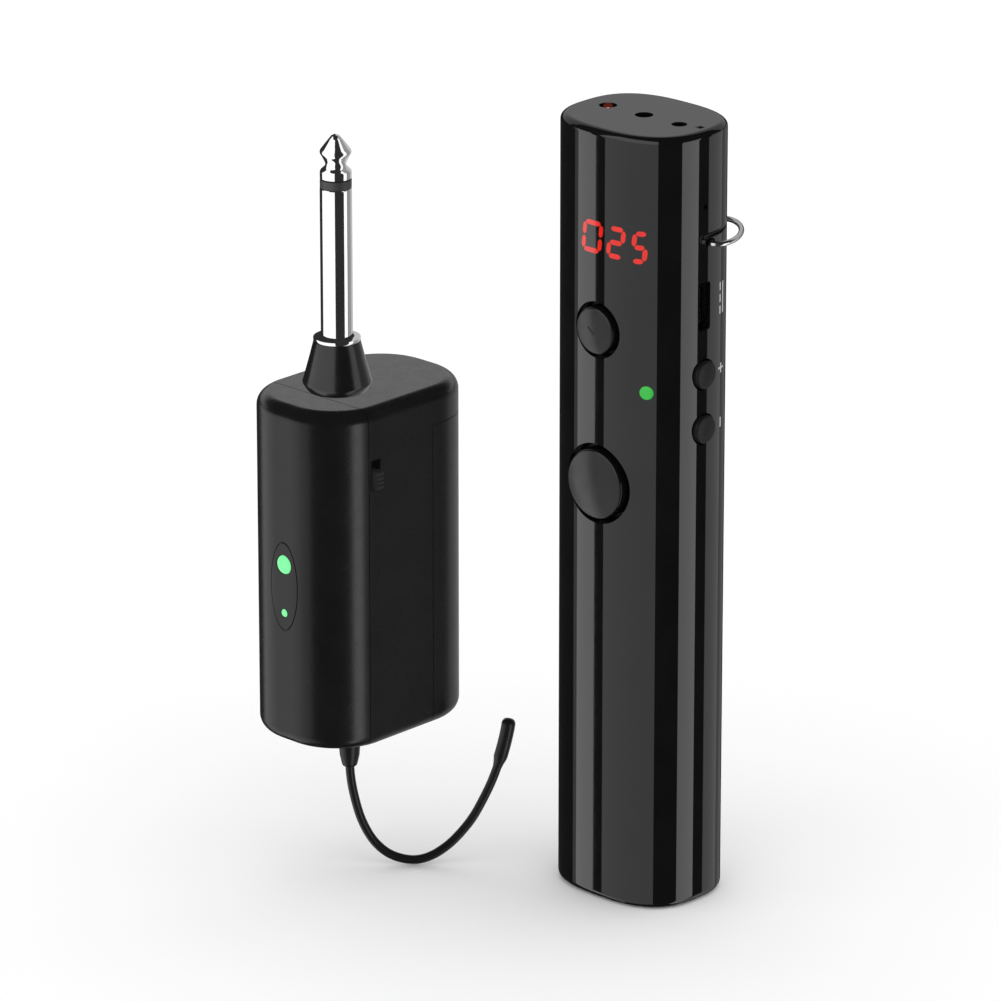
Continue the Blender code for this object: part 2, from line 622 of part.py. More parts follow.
def rx_plug():
    """The 6.35 mm plug: tip on its rod, insulating tube, sleeve, washer, boot and the nut inside."""
    tip_low = 112.2
    place = (0, PLUG_Y, 0)
    collar = tip_low + 2.0
    tip = [(0, 123.0), (0.5, 122.9), (1.15, 122.4), (2.2, 121.0), (2.95, 120.0), (3.12, 119.5),
           (2.95, 118.9), (2.05, 117.2), (2.05, 116.7), (3.12, 115.6), (3.12, collar), (0.7, collar),
           (0.7, 58), (0, 58)]
    turned("rx_plug_tip", tip, place, RX, "chrome", steps=28)
    insulator = [(3.17, tip_low + 1.8), (3.17, tip_low + 0.1), (1.3, tip_low + 0.1), (1.3, 59), (1.0, 59),
                 (1.0, tip_low + 1.8)]
    turned("rx_plug_insulator", insulator, place, RX, "dark_part", steps=28)
    sleeve = [(3.175, tip_low), (3.175, 60), (1.6, 60), (1.6, tip_low)]
    turned("rx_plug_sleeve", sleeve, place, RX, "chrome", steps=28)
    shoulder = SHOULDER_Z / MM
    washer = [(4.6, shoulder), (4.7, shoulder - 0.1), (4.7, shoulder - 0.7), (3.475, shoulder - 0.7),
              (3.475, shoulder)]
    turned("rx_plug_washer", washer, place, RX, "chrome", steps=28)
    top = RX_HEIGHT / MM
    boot = [(4.65, shoulder - 0.8), (6.85, top + 1.8), (6.85, top + 1.5), (5.9, top + 0.1),
            (3.475, top + 0.1), (3.475, shoulder - 0.8)]
    turned("rx_plug_boot", boot, place, RX, "satin_black", steps=36)
    nut = rod("rx_plug_nut", (0, PLUG_Y, 66.0 * MM), (0, 0, 1), 5.8 * MM, 2.6 * MM, RX, "steel", sides=6)
    cut(nut, rod("cut_nut_bore", (0, PLUG_Y, 60 * MM), (0, 0, 1), PLUG_RADIUS + GAP, 12 * MM, RX, sides=32))


def rx_inside():
    """The main board, the two cells and their contacts."""
    board = box("rx_main_board", (-11 * MM, 1.2 * MM, 6 * MM), (11 * MM, 2.4 * MM, 62 * MM), RX, "board")
    for side, x, z in (("left", -8 * MM, 12 * MM), ("right", 8 * MM, 57 * MM)):
        hole = rod("cut_board_hole_" + side, (x, -5 * MM, z), (0, 1, 0), 1.0 * MM, 14 * MM, RX, sides=16)
        cut(board, hole)
        cut(bpy.data.objects["rx_rear_shell"], hole)
        screw("rx_board_screw_" + side, (x, 0.3 * MM, z), "-Y", 4.8, RX)
    length = AAA_LENGTH / MM
    profile = [(0, length), (1.8, length), (1.8, length - 1.2), (4.7, length - 1.2), (5.2, length - 1.8),
               (5.2, 0.5), (4.8, 0), (0, 0)]
    for side, sign in (("left", -1), ("right", 1)):
        x = sign * AAA_PLACE[0]
        y = AAA_PLACE[1]
        turned("rx_cell_" + side, profile, (x, y, AAA_LOW), RX, "cell_wrap", steps=24)
        rod("rx_contact_" + side, (x, y - 0.6 * MM, 7.2 * MM), (0, 0, 1), 2.6 * MM, 1.4 * MM, RX, "steel", sides=16)
    box("rx_contact_bridge", (-8.5 * MM, 9 * MM, 54.5 * MM), (8.5 * MM, 13.5 * MM, 55.2 * MM), RX, "steel")


def whip_curve(count=64):
    """Points along the whip, from a smooth curve through its route, evenly spaced."""
    across = Vector((cos(WHIP_HEADING), sin(WHIP_HEADING), 0))
    start = Vector((0, ANTENNA_Y, 0))
    knots = [start + across * s * MM + Vector((0, 0, h * MM)) for s, h in WHIP_ROUTE]
    ends = [2 * knots[0] - knots[1]] + knots + [2 * knots[-1] - knots[-2]]
    fine = []
    for index in range(1, len(ends) - 2):
        before, first, second, after = ends[index - 1:index + 3]
        for step in range(16):
            t = step / 16
            fine.append(0.5 * ((2 * first) + (second - before) * t
                               + (2 * before - 5 * first + 4 * second - after) * t * t
                               + (3 * first - before - 3 * second + after) * t ** 3))
    fine.append(knots[-1])
    return evenly(fine, count)


def evenly(points, count):
    lengths = [0.0]
    for first, second in zip(points, points[1:]):
        lengths.append(lengths[-1] + (second - first).length)
    chosen = []
    index = 0
    for step in range(count):
        target = lengths[-1] * step / (count - 1)
        while index < len(points) - 2 and lengths[index + 1] < target:
            index += 1
        share = (target - lengths[index]) / (lengths[index + 1] - lengths[index])
        chosen.append(points[index].lerp(points[index + 1], min(share, 1)))
    return chosen


def rx_antenna():
    """The strain relief, the whip antenna that hangs in a J, and the thicker moulding on its end."""
    relief = [(2.6, 2.9), (2.6, 2.1), (1.6, 2.1), (1.6, -0.3), (2.3, -0.3), (2.3, -1.6), (2.05, -7.4),
              (1.5, -9.8), (1.2, -9.8), (1.2, 2.9)]
    turned("rx_antenna_relief", relief, (0, ANTENNA_Y, 0), RX, "rubber", steps=24)
    points = whip_curve()
    split = int(len(points) * TIP_SHARE)
    tube("rx_antenna_whip", evenly(points[:split], 34), WHIP_RADIUS, RX, "rubber")
    first = points[split - 1]
    gap_end = first + (points[split] - first).normalized() * GAP
    tube("rx_antenna_tip", evenly([gap_end] + points[split:], 7), WHIP_TIP_RADIUS, RX, "rubber")


# ---------------------------------------------------------------- build

clear_scene()
PARTS = new_collection("wireless_instrument_set")
CUTTERS = new_collection("cutters")
MATERIALS = make_materials()
TX = new_empty("tx_frame", (0, 0, 0))
RX = new_empty("rx_frame", RX_BASE)

tx_housing()
tx_base_cap()
tx_chassis()
tx_boards()
tx_power_train()
tx_controls()
tx_top_end()
tx_charge_socket()
tx_antenna_wire()
tx_lanyard_bail()
rx_shells()
rx_light_plate()
rx_slide_switch()
rx_plug()
rx_inside()
rx_antenna()
bpy.context.view_layer.update()
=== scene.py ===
"""Looks for the wireless instrument set: a glossy stick transmitter and its plug-on receiver."""

import json
from math import cos, hypot, pi, radians, sin, sqrt, tan

import bmesh
import bpy
import numpy as np
from mathutils import Matrix, Vector


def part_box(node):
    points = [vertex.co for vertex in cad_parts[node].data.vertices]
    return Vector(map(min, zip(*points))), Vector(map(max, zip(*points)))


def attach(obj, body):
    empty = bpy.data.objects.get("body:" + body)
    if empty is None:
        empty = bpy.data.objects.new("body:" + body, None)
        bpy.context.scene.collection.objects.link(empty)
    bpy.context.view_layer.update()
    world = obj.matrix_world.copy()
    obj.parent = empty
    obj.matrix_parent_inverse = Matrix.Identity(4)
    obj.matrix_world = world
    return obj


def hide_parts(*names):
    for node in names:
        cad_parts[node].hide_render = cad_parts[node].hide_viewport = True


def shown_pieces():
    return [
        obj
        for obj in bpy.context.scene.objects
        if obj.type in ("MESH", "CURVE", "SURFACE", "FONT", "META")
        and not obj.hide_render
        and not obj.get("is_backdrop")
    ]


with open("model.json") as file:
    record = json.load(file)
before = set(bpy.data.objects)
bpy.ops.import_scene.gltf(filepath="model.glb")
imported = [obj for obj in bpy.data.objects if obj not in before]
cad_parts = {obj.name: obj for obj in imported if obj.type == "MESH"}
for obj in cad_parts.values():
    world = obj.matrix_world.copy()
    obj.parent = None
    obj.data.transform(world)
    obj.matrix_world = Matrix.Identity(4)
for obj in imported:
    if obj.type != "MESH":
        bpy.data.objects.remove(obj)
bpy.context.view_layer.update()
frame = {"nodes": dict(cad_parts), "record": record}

MM = 0.001
AXES = {"X": (1, 0, 0), "-Y": (0, -1, 0), "Z": (0, 0, 1), "-Z": (0, 0, -1)}

# Camera: where it stands round the object, and the point it is aimed at, right of and above the origin
CAMERA_AZIMUTH = radians(43.5)
CAMERA_ELEVATION = radians(19.62)
CAMERA_DISTANCE = 1500.6 * MM
CAMERA_LENS = 268.8
AIM_RIGHT = -27.8 * MM
AIM_UP = 75.85 * MM

# Transmitter, from its CAD housing
TX_LOW, TX_HIGH = (Vector(corner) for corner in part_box("tx_housing"))
TX_HALF_X = (TX_HIGH.x - TX_LOW.x) / 2
TX_HALF_Y = (TX_HIGH.y - TX_LOW.y) / 2
TX_LENGTH = TX_HIGH.z - TX_LOW.z
TX_POWER = 2.7
TX_EDGE = 1.4 * MM
TX_WALL = 2.0 * MM
TX_ROOF = 2.5 * MM
TX_SIDES = 256
POWER_HOLE = 5.75 * MM
TALK_HOLE = 8.2 * MM
VOLUME_HOLE = 3.2 * MM
PORT_HALF = (1.65 * MM, 4.9 * MM)
PORT_CORNER = 0.7 * MM
PINHOLE_Z = 144.6 * MM
PINHOLE = 0.5 * MM
SOCKET_HOLE = 1.8 * MM
MIC_HOLE = 1.55 * MM
NOTCH = ((12.8 * MM, 0.5 * MM), (14.2 * MM, 1.9 * MM))
NOTCH_DEPTH = 0.7 * MM
STATUS_HOLE = 1.42 * MM


def middle(node):
    low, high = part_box(node)
    return (Vector(low) + Vector(high)) / 2


POWER_Z = middle("tx_power_button").z
TALK_Z = middle("tx_talk_button").z
UP_Z = middle("tx_volume_up_button").z
DOWN_Z = middle("tx_volume_down_button").z
PORT_Z = middle("tx_charge_socket").z
DISPLAY_Z = middle("tx_display").z
STATUS_Z = middle("tx_status_light").z
STATUS_X = 11.2 * MM
LAMP_X = middle("tx_signal_lamp").x
MIC_X = middle("tx_microphone").x
POWER_CAP = 4.8
POWER_PROUD = 1.2 * MM
POWER_DOME = 0.35 * MM
TALK_PROUD = 1.3 * MM
VOLUME_PROUD = 1.0 * MM
BAIL_Z = middle("tx_lanyard_bail").z

# Receiver, from its CAD shells
DOOR_LOW, DOOR_HIGH = (Vector(corner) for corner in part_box("rx_battery_door"))
FRONT_LOW, FRONT_HIGH = (Vector(corner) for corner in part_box("rx_front_shell"))
RX_HALF_X = (DOOR_HIGH.x - DOOR_LOW.x) / 2
RX_HALF_Y = (DOOR_HIGH.y - FRONT_LOW.y) / 2
RX_HEIGHT = FRONT_HIGH.z - FRONT_LOW.z
RX_BASE = Vector(((DOOR_LOW.x + DOOR_HIGH.x) / 2, (DOOR_HIGH.y + FRONT_LOW.y) / 2, FRONT_LOW.z))
RX_CORNER = 12.5 * MM
RX_EDGE = 2.8 * MM
RX_WALL = 1.8 * MM
SEAM_Y = FRONT_HIGH.y - RX_BASE.y + 0.15 * MM
SEAM_GAP = 0.16 * MM
DOOR_Y = DOOR_LOW.y - RX_BASE.y
DOOR_TOP = DOOR_HIGH.z - RX_BASE.z
PLUG = middle("rx_plug_washer") - RX_BASE
ANTENNA = middle("rx_antenna_relief") - RX_BASE
PLATE = middle("rx_light_plate") - RX_BASE
PAIR = middle("rx_pair_button") - RX_BASE
POWER_LIGHT = middle("rx_power_light") - RX_BASE
KNOB = middle("rx_switch_knob") - RX_BASE
SLOT_Z = (54.2 * MM, 60.4 * MM)
SLOT_HALF = 1.2 * MM
PLATE_HALF = (3.6 * MM, 9.15 * MM)
PLATE_TRIM = 0.02 * MM
PARTITION = ((-12.9 * MM, 3.9 * MM, MM), (12.9 * MM, 5.4 * MM, 68 * MM))
SHOULDER = 81.7
SLEEVE_TOP = 112.2

WHIP_HEADING = radians(43.5)
WHIP_DIAMETER = 1.8 * MM
WHIP_ROUTE = [(0, 0.9), (0, -4.0), (0, -8.3), (0.15, -11.8), (0.8, -16.0), (2.2, -21.2), (4.4, -25.6),
              (7.2, -28.5), (10.3, -29.9), (13.5, -30.2), (16.6, -29.2), (19.6, -27.1), (22.2, -24.4),
              (24.7, -21.0), (27.0, -16.6), (29.0, -11.9), (30.6, -6.7), (31.6, -2.4), (32.0, 0.3)]
TIP_SHARE = 0.865


# ---------------------------------------------------------------- nodes and materials

class Nodes:
    """A short way to write a material's nodes."""

    def __init__(self, name):
        self.material = bpy.data.materials.new(name)
        self.material.use_nodes = True
        self.tree = self.material.node_tree
        self.shader = self.tree.nodes["Principled BSDF"]
        self.coords = self.tree.nodes.new("ShaderNodeTexCoord")

    def set(self, **values):
        for key, value in values.items():
            self.shader.inputs[key.replace("_", " ")].default_value = value

    def link(self, source, target):
        self.tree.links.new(source, target)

    def noise(self, scale, detail=3.0, stretch=(1, 1, 1), roughness=0.5):
        mapping = self.tree.nodes.new("ShaderNodeMapping")
        mapping.inputs["Scale"].default_value = stretch
        self.link(self.coords.outputs["Object"], mapping.inputs["Vector"])
        item = self.tree.nodes.new("ShaderNodeTexNoise")
        item.inputs["Scale"].default_value = scale
        item.inputs["Detail"].default_value = detail
        item.inputs["Roughness"].default_value = roughness
        self.link(mapping.outputs["Vector"], item.inputs["Vector"])
        return item.outputs["Fac"]

    def remap(self, source, low, high, start=0.3, end=0.7):
        item = self.tree.nodes.new("ShaderNodeMapRange")
        item.inputs["From Min"].default_value = start
        item.inputs["From Max"].default_value = end
        item.inputs["To Min"].default_value = low
        item.inputs["To Max"].default_value = high
        self.link(source, item.inputs["Value"])
        return item.outputs["Result"]

    def mix(self, factor, first, second):
        item = self.tree.nodes.new("ShaderNodeMix")
        item.data_type = "RGBA"
        item.inputs["A"].default_value = (*first, 1)
        item.inputs["B"].default_value = (*second, 1)
        self.link(factor, item.inputs["Factor"])
        return item.outputs["Result"]

    def bump(self, height, distance, strength=1.0):
        item = self.tree.nodes.new("ShaderNodeBump")
        item.inputs["Distance"].default_value = distance
        item.inputs["Strength"].default_value = strength
        self.link(height, item.inputs["Height"])
        self.link(item.outputs["Normal"], self.shader.inputs["Normal"])


def plastic(name, colour, roughness, spread=0.03, grain=None, tint=0.25, ior=1.5):
    """Moulded plastic: a faint mottle in colour and gloss, and a moulded grain where it has one."""
    nodes = Nodes(name)
    nodes.set(IOR=ior)
    mottle = nodes.noise(120, 4.0)
    lighter = tuple(min(1.0, c * (1 + tint) + 0.0005) for c in colour)
    nodes.link(nodes.mix(nodes.remap(mottle, 0, 1), colour, lighter), nodes.shader.inputs["Base Color"])
    wear = nodes.noise(420, 5.0, roughness=0.6)
    nodes.link(nodes.remap(wear, roughness - spread, roughness + spread), nodes.shader.inputs["Roughness"])
    if grain:
        scale, depth = grain
        nodes.bump(nodes.noise(scale, 2.0), depth, 0.6)
    return nodes.material


def metal(name, colour, roughness, spread=0.03, stretch=(1, 1, 1), scale=900, depth=None):
    """Plated or drawn metal with fine marks along one way."""
    nodes = Nodes(name)
    nodes.set(Metallic=1.0)
    marks = nodes.noise(scale, 4.0, stretch)
    darker = tuple(c * 0.86 for c in colour)
    nodes.link(nodes.mix(nodes.remap(marks, 0, 1), darker, colour), nodes.shader.inputs["Base Color"])
    nodes.link(nodes.remap(marks, roughness - spread, roughness + spread), nodes.shader.inputs["Roughness"])
    if depth:
        nodes.bump(marks, depth, 0.5)
    return nodes.material


def lit(name, colour, strength, body=(0.01, 0.01, 0.01), roughness=0.12, unevenness=0.12):
    """A lit plastic window, a little uneven in brightness."""
    nodes = Nodes(name)
    nodes.set(Base_Color=(*body, 1), Roughness=roughness)
    spots = nodes.remap(nodes.noise(700, 2.0), strength * (1 - unevenness), strength * (1 + unevenness))
    nodes.shader.inputs["Emission Color"].default_value = (*colour, 1)
    nodes.link(spots, nodes.shader.inputs["Emission Strength"])
    return nodes.material


def circuit_board(name):
    """Green solder mask over faint copper tracks."""
    nodes = Nodes(name)
    nodes.set(Roughness=0.35)
    tracks = nodes.noise(500, 1.0, (1, 1, 0.3))
    colour = nodes.mix(nodes.remap(tracks, 0, 1, 0.47, 0.53), (0.004, 0.07, 0.025), (0.012, 0.16, 0.06))
    nodes.link(colour, nodes.shader.inputs["Base Color"])
    nodes.bump(tracks, 0.03 * MM)
    return nodes.material


def cell_sleeve(name):
    """The shrunk sleeve of a cell, with a lighter band."""
    nodes = Nodes(name)
    nodes.set(Roughness=0.3)
    blend = nodes.remap(nodes.noise(60, 2.0, (1, 1, 4)), 0, 1)
    nodes.link(nodes.mix(blend, (0.01, 0.05, 0.18), (0.03, 0.14, 0.4)), nodes.shader.inputs["Base Color"])
    nodes.bump(nodes.noise(900, 2.0), 0.02 * MM)
    return nodes.material


MATERIALS = {
    "gloss": plastic("gloss_black_shell", (0.0022, 0.0022, 0.0024), 0.03, 0.006, tint=0.2),
    "button": plastic("gloss_black_button", (0.0022, 0.0022, 0.0024), 0.20, 0.03, tint=0.2, ior=1.44),
    "volume": plastic("satin_black_button", (0.0060, 0.0060, 0.0062), 0.30, 0.04, tint=0.2, ior=1.22),
    "satin": plastic("satin_black_case", (0.0048, 0.0048, 0.0050), 0.26, 0.025, (2600, 0.012 * MM)),
    "boot": plastic("satin_black_boot", (0.0035, 0.0035, 0.0036), 0.22, 0.03, (2200, 0.01 * MM)),
    "knob": plastic("satin_black_knob", (0.016, 0.016, 0.017), 0.30, 0.04, (2400, 0.01 * MM)),
    "inlay": plastic("gloss_black_inlay", (0.004, 0.004, 0.0042), 0.16, 0.02),
    "rubber": plastic("whip_rubber", (0.006, 0.006, 0.006), 0.34, 0.04, (1800, 0.02 * MM)),
    "dark": plastic("moulded_dark_part", (0.02, 0.02, 0.021), 0.45, 0.05, (1500, 0.02 * MM)),
    "chassis": plastic("moulded_chassis", (0.05, 0.05, 0.052), 0.5, 0.05, (1500, 0.02 * MM)),
    "print": plastic("printed_mark", (0.36, 0.36, 0.37), 0.5, 0.05, tint=0.1),
    # Near-black matte bar for the engraved dash on the power cap: its dark colour is painted groove shade
    "groove_shade": plastic("engraved_mark", (0.001, 0.001, 0.001), 0.6, 0.05),
    "chrome": metal("bright_plating", (0.90, 0.90, 0.91), 0.045, 0.02, (1, 1, 0.08)),
    "bail": metal("bail_wire", (0.70, 0.70, 0.71), 0.20, 0.05, (1, 1, 1), 700, 0.004 * MM),
    "steel": metal("plated_steel", (0.62, 0.63, 0.65), 0.28, 0.06),
    "red_digits": lit("red_digits", (0.80, 0.014, 0.006), 0.93, (0.003, 0.002, 0.002), 0.06, 0.10),
    "red_lamp": lit("red_lamp", (0.9, 0.16, 0.10), 2.2, (0.2, 0.01, 0.005), 0.1),
    "green": lit("green_light", (0.030, 0.470, 0.052), 0.97, (0.002, 0.01, 0.003), 0.25, 0.04),
    "mint": lit("mint_light", (0.215, 1.0, 0.375), 0.97, (0.01, 0.03, 0.015), 0.3, 0.03),
    "board": circuit_board("green_board"),
    "cell": cell_sleeve("cell_sleeve"),
}

SLOT_LOOKS = {
    "gloss_black": "gloss", "satin_black": "satin", "chassis_black": "chassis", "board_green": "board",
    "part_black": "dark", "lamp_red": "red_lamp", "lamp_green": "green", "lamp_mint": "mint",
    "steel": "steel", "chrome": "chrome", "cell_wrap": "cell", "antenna_rubber": "rubber",
}


def dress_frame():
    """Every CAD node takes a worked material, also where a finer piece hides it."""
    for entry in frame["record"]["subparts"]:
        item = frame["nodes"][entry["node"]]
        item.data.materials.clear()
        item.data.materials.append(MATERIALS[SLOT_LOOKS[entry["material_slot"]]])


# ---------------------------------------------------------------- mesh tools

def link(item):
    bpy.context.scene.collection.objects.link(item)
    return item


def from_shape(name, shape, look):
    """An object from a bmesh, which is used up."""
    bmesh.ops.recalc_face_normals(shape, faces=shape.faces)
    mesh = bpy.data.meshes.new(name)
    shape.to_mesh(mesh)
    shape.free()
    mesh.materials.append(MATERIALS[look])
    return link(bpy.data.objects.new(name, mesh))


def solid_from_rings(name, rings, look, wrap=False):
    """A closed solid through rings of points. With wrap the last ring joins the first, as on a tube."""
    count = len(rings[0])
    shape = bmesh.new()
    rows = [[shape.verts.new(point) for point in ring] for ring in rings]
    pairs = list(zip(rows, rows[1:]))
    if wrap:
        pairs.append((rows[-1], rows[0]))
    for lower, upper in pairs:
        for index in range(count):
            after = (index + 1) % count
            shape.faces.new((lower[index], lower[after], upper[after], upper[index]))
    if not wrap:
        shape.faces.new(list(reversed(rows[0])))
        shape.faces.new(rows[-1])
    return from_shape(name, shape, look)


def circle(radius, height, sides):
    """Points on a level circle about Z."""
    angles = [2 * pi * k / sides for k in range(sides)]
    return [Vector((radius * cos(angle), radius * sin(angle), height)) for angle in angles]


def smooth(item, angle=35):
    item.data.shade_smooth()
    item.data.set_sharp_from_angle(angle=radians(angle))
    return item


def turned(name, profile, place, look, axis="Z", sides=64):
    """A turned solid from (radius, height) points in millimetres, top to bottom down its outer side."""
    closed = all(radius > 0 for radius, _ in profile)
    rings = [circle(max(radius, 0.0005) * MM, height * MM, sides) for radius, height in profile]
    item = solid_from_rings(name, rings, look, wrap=closed)
    turn = Vector(AXES[axis]).to_track_quat("Z", "Y").to_matrix().to_4x4()
    item.data.transform(Matrix.Translation(place) @ turn)
    return smooth(item)


def cylinder(place, direction, radius, length, sides=64):
    """A cutter: a cylinder from place along direction."""
    direction = Vector(direction).normalized()
    ring = circle(radius, 0, sides)
    item = solid_from_rings("cutter", [ring, [p + Vector((0, 0, length)) for p in ring]], "dark")
    turn = direction.to_track_quat("Z", "Y").to_matrix().to_4x4()
    item.data.transform(Matrix.Translation(place) @ turn)
    return item


def block(low, high):
    """A cutter: a box between two corners."""
    low = Vector(low)
    high = Vector(high)
    ring = [Vector((low.x, low.y, low.z)), Vector((high.x, low.y, low.z)),
            Vector((high.x, high.y, low.z)), Vector((low.x, high.y, low.z))]
    return solid_from_rings("cutter", [ring, [p + Vector((0, 0, high.z - low.z)) for p in ring]], "dark")


def carve(item, *cutters, operation="DIFFERENCE"):
    """Cut, join or keep by other solids, which are used up."""
    for cutter in cutters:
        change = item.modifiers.new("carve", "BOOLEAN")
        change.object = cutter
        change.operation = operation
        change.solver = "EXACT"
    bpy.context.view_layer.update()
    evaluated = item.evaluated_get(bpy.context.evaluated_depsgraph_get())
    mesh = bpy.data.meshes.new_from_object(evaluated)
    look = item.data.materials[0]
    item.modifiers.clear()
    item.data = mesh
    mesh.materials.clear()
    mesh.materials.append(look)
    for cutter in cutters:
        bpy.data.objects.remove(cutter, do_unlink=True)
    return item


def true_normals(item, rule):
    """Give each face corner the design's own normal, where the rule has one for it."""
    smooth(item, 30)
    mesh = item.data
    normals = [Vector(corner.vector) for corner in mesh.corner_normals]
    for face in mesh.polygons:
        for loop in face.loop_indices:
            point = mesh.vertices[mesh.loops[loop].vertex_index].co
            found = rule(point, face.normal)
            if found is not None:
                normals[loop] = found
    mesh.normals_split_custom_set(normals)


# ---------------------------------------------------------------- transmitter's section

def section_ring(inset, height, sides=TX_SIDES):
    """The stick's outline, a superellipse, drawn in by inset."""
    half_x = TX_HALF_X - inset
    half_y = TX_HALF_Y - inset
    ring = []
    for step in range(sides):
        angle = 2 * pi * (step + 0.5) / sides
        reach = (abs(cos(angle)) ** TX_POWER + abs(sin(angle)) ** TX_POWER) ** (-1 / TX_POWER)
        ring.append(Vector((half_x * reach * cos(angle), half_y * reach * sin(angle), height)))
    return ring


def front_skin(x):
    """How far the front skin stands from the middle plane at a given x."""
    return TX_HALF_Y * (1 - (abs(x) / TX_HALF_X) ** TX_POWER) ** (1 / TX_POWER)


def side_skin(y):
    """How far the narrow side's skin stands from the middle plane at a given y."""
    return TX_HALF_X * (1 - (abs(y) / TX_HALF_Y) ** TX_POWER) ** (1 / TX_POWER)


def section_normal(x, y):
    """The outward normal of the stick's outline."""
    slope = TX_POWER - 1
    across = (abs(x) / TX_HALF_X) ** slope / TX_HALF_X
    deep = (abs(y) / TX_HALF_Y) ** slope / TX_HALF_Y
    return Vector((across if x > 0 else -across, deep if y > 0 else -deep, 0)).normalized()


def sleeve_normal(point, face_normal):
    """The sleeve's own normal at a point of its outer skin, or None inside holes."""
    if abs(face_normal.z) > 0.9999:
        return Vector((0, 0, 1 if face_normal.z > 0 else -1))
    flat = section_normal(point.x, point.y)
    if Vector((face_normal.x, face_normal.y, 0)).normalized().dot(flat) < 0.995:
        return None
    lift = 0.0
    if point.z > TX_LENGTH - TX_EDGE:
        lift = (point.z - (TX_LENGTH - TX_EDGE)) / TX_EDGE
    elif point.z < TX_EDGE:
        lift = (point.z - TX_EDGE) / TX_EDGE
    lift = max(-1.0, min(1.0, lift))
    if abs(lift) < 1e-6 and abs(face_normal.z) > 0.02:
        return flat
    return (flat * sqrt(1 - lift * lift) + Vector((0, 0, lift))).normalized()


def tx_sleeve():
    """The glossy one-piece sleeve with its true section, edge rounding and every hole."""
    steps = 8
    rings = []
    for step in range(steps + 1):
        angle = pi / 2 * step / steps
        rings.append(section_ring(TX_EDGE * (1 - sin(angle)), TX_EDGE * (1 - cos(angle))))
    for step in range(steps, -1, -1):
        angle = pi / 2 * step / steps
        rings.append(section_ring(TX_EDGE * (1 - sin(angle)), TX_LENGTH - TX_EDGE * (1 - cos(angle))))
    body = solid_from_rings("tx_sleeve_shell", rings, "gloss")
    cavity = solid_from_rings("cutter", [section_ring(TX_WALL, -MM, 128),
                                         section_ring(TX_WALL, TX_LENGTH - TX_ROOF, 128)], "dark")
    cutters = [cavity]
    reach = 20 * MM
    cutters.append(cylinder((0, 0, POWER_Z), (0, -1, 0), POWER_HOLE, reach, 96))
    cutters.append(cylinder((0, 0, TALK_Z), (0, -1, 0), TALK_HOLE, reach, 128))
    for height in (UP_Z, DOWN_Z):
        cutters.append(cylinder((0, 0, height), (1, 0, 0), VOLUME_HOLE, reach, 72))
    cutters.append(slot_cutter(PORT_Z, *PORT_HALF, PORT_CORNER))
    cutters.append(cylinder((0, 0, PINHOLE_Z), (1, 0, 0), PINHOLE, reach, 32))
    for x, radius in ((LAMP_X, SOCKET_HOLE), (0.0, SOCKET_HOLE), (MIC_X, MIC_HOLE)):
        cutters.append(cylinder((x, 0, TX_LENGTH - 6 * MM), (0, 0, 1), radius, 10 * MM, 56))
    cutters.append(block((*NOTCH[0], TX_LENGTH - NOTCH_DEPTH), (*NOTCH[1], TX_LENGTH + MM)))
    place, normal = status_place()
    cutters.append(cylinder(place - normal * 5 * MM, normal, STATUS_HOLE, 8 * MM, 56))
    far_end = 2 * BAIL_MIDDLE
    for first, last in ((-1.5, 4.6), (far_end - 4.4, far_end + 1.8)):
        start = bail_point(first, 0)
        way = bail_point(last, 0) - start
        cutters.append(cylinder(start, way, BAIL_HOLE, way.length, 32))
    carve(body, *cutters)
    true_normals(body, sleeve_normal)
    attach(body, "transmitter")
    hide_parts("tx_housing")
    return body


def slot_cutter(height, half_wide, half_tall, corner):
    """A cutter for the charging slot: an upright slot with round corners, through the narrow side."""
    ring = []
    for step in range(48):
        angle = 2 * pi * (step + 0.5) / 48
        aside = half_wide - corner if cos(angle) > 0 else corner - half_wide
        lift = half_tall - corner if sin(angle) > 0 else corner - half_tall
        ring.append(Vector((0, aside + corner * cos(angle), height + lift + corner * sin(angle))))
    return solid_from_rings("cutter", [ring, [p + Vector((30 * MM, 0, 0)) for p in ring]], "dark")


def status_place():
    """Where the corner light's axis meets the skin, and the normal there."""
    point = Vector((STATUS_X, -front_skin(STATUS_X), STATUS_Z))
    return point, section_normal(point.x, point.y)


# ---------------------------------------------------------------- transmitter's pieces

def close_rows(shape, rows):
    """Join rows of four corners into one closed bar."""
    for first, second in zip(rows, rows[1:]):
        for index in range(4):
            after = (index + 1) % 4
            shape.faces.new((first[index], first[after], second[after], second[index]))
    shape.faces.new(rows[0])
    shape.faces.new(list(reversed(rows[-1])))


def skin_patch(name, bars, lift, sink, look, mapper):
    """Thin raised bars on the body's skin. Each bar is a list of (left, right) flat points."""
    shape = bmesh.new()
    for bar in bars:
        rows = []
        for pair in bar:
            row = []
            for point, out in ((pair[0], lift), (pair[1], lift), (pair[1], -sink), (pair[0], -sink)):
                place, normal = mapper(point.x)
                row.append(shape.verts.new(place + normal * out + Vector((0, 0, point.y))))
            rows.append(row)
        close_rows(shape, rows)
    item = from_shape(name, shape, look)

    def rule(point, face_normal):
        flat = section_normal(point.x, point.y)
        return flat if face_normal.dot(flat) > 0.9 else None

    true_normals(item, rule)
    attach(item, "transmitter")
    return item


def arc_table():
    """Arc length along the front skin against x, from the middle of the front."""
    xs = np.linspace(-15.9 * MM, 15.9 * MM, 2400)
    ys = np.array([-front_skin(x) for x in xs])
    lengths = np.concatenate(([0], np.cumsum(np.hypot(np.diff(xs), np.diff(ys)))))
    return xs, lengths - np.interp(0.0, xs, lengths)


ARC_X, ARC_LENGTH = arc_table()


def front_at(along):
    """The point on the front skin at an arc length from its middle, and the normal there."""
    x = float(np.interp(along, ARC_LENGTH, ARC_X))
    point = Vector((x, -front_skin(x), 0))
    return point, section_normal(point.x, point.y)


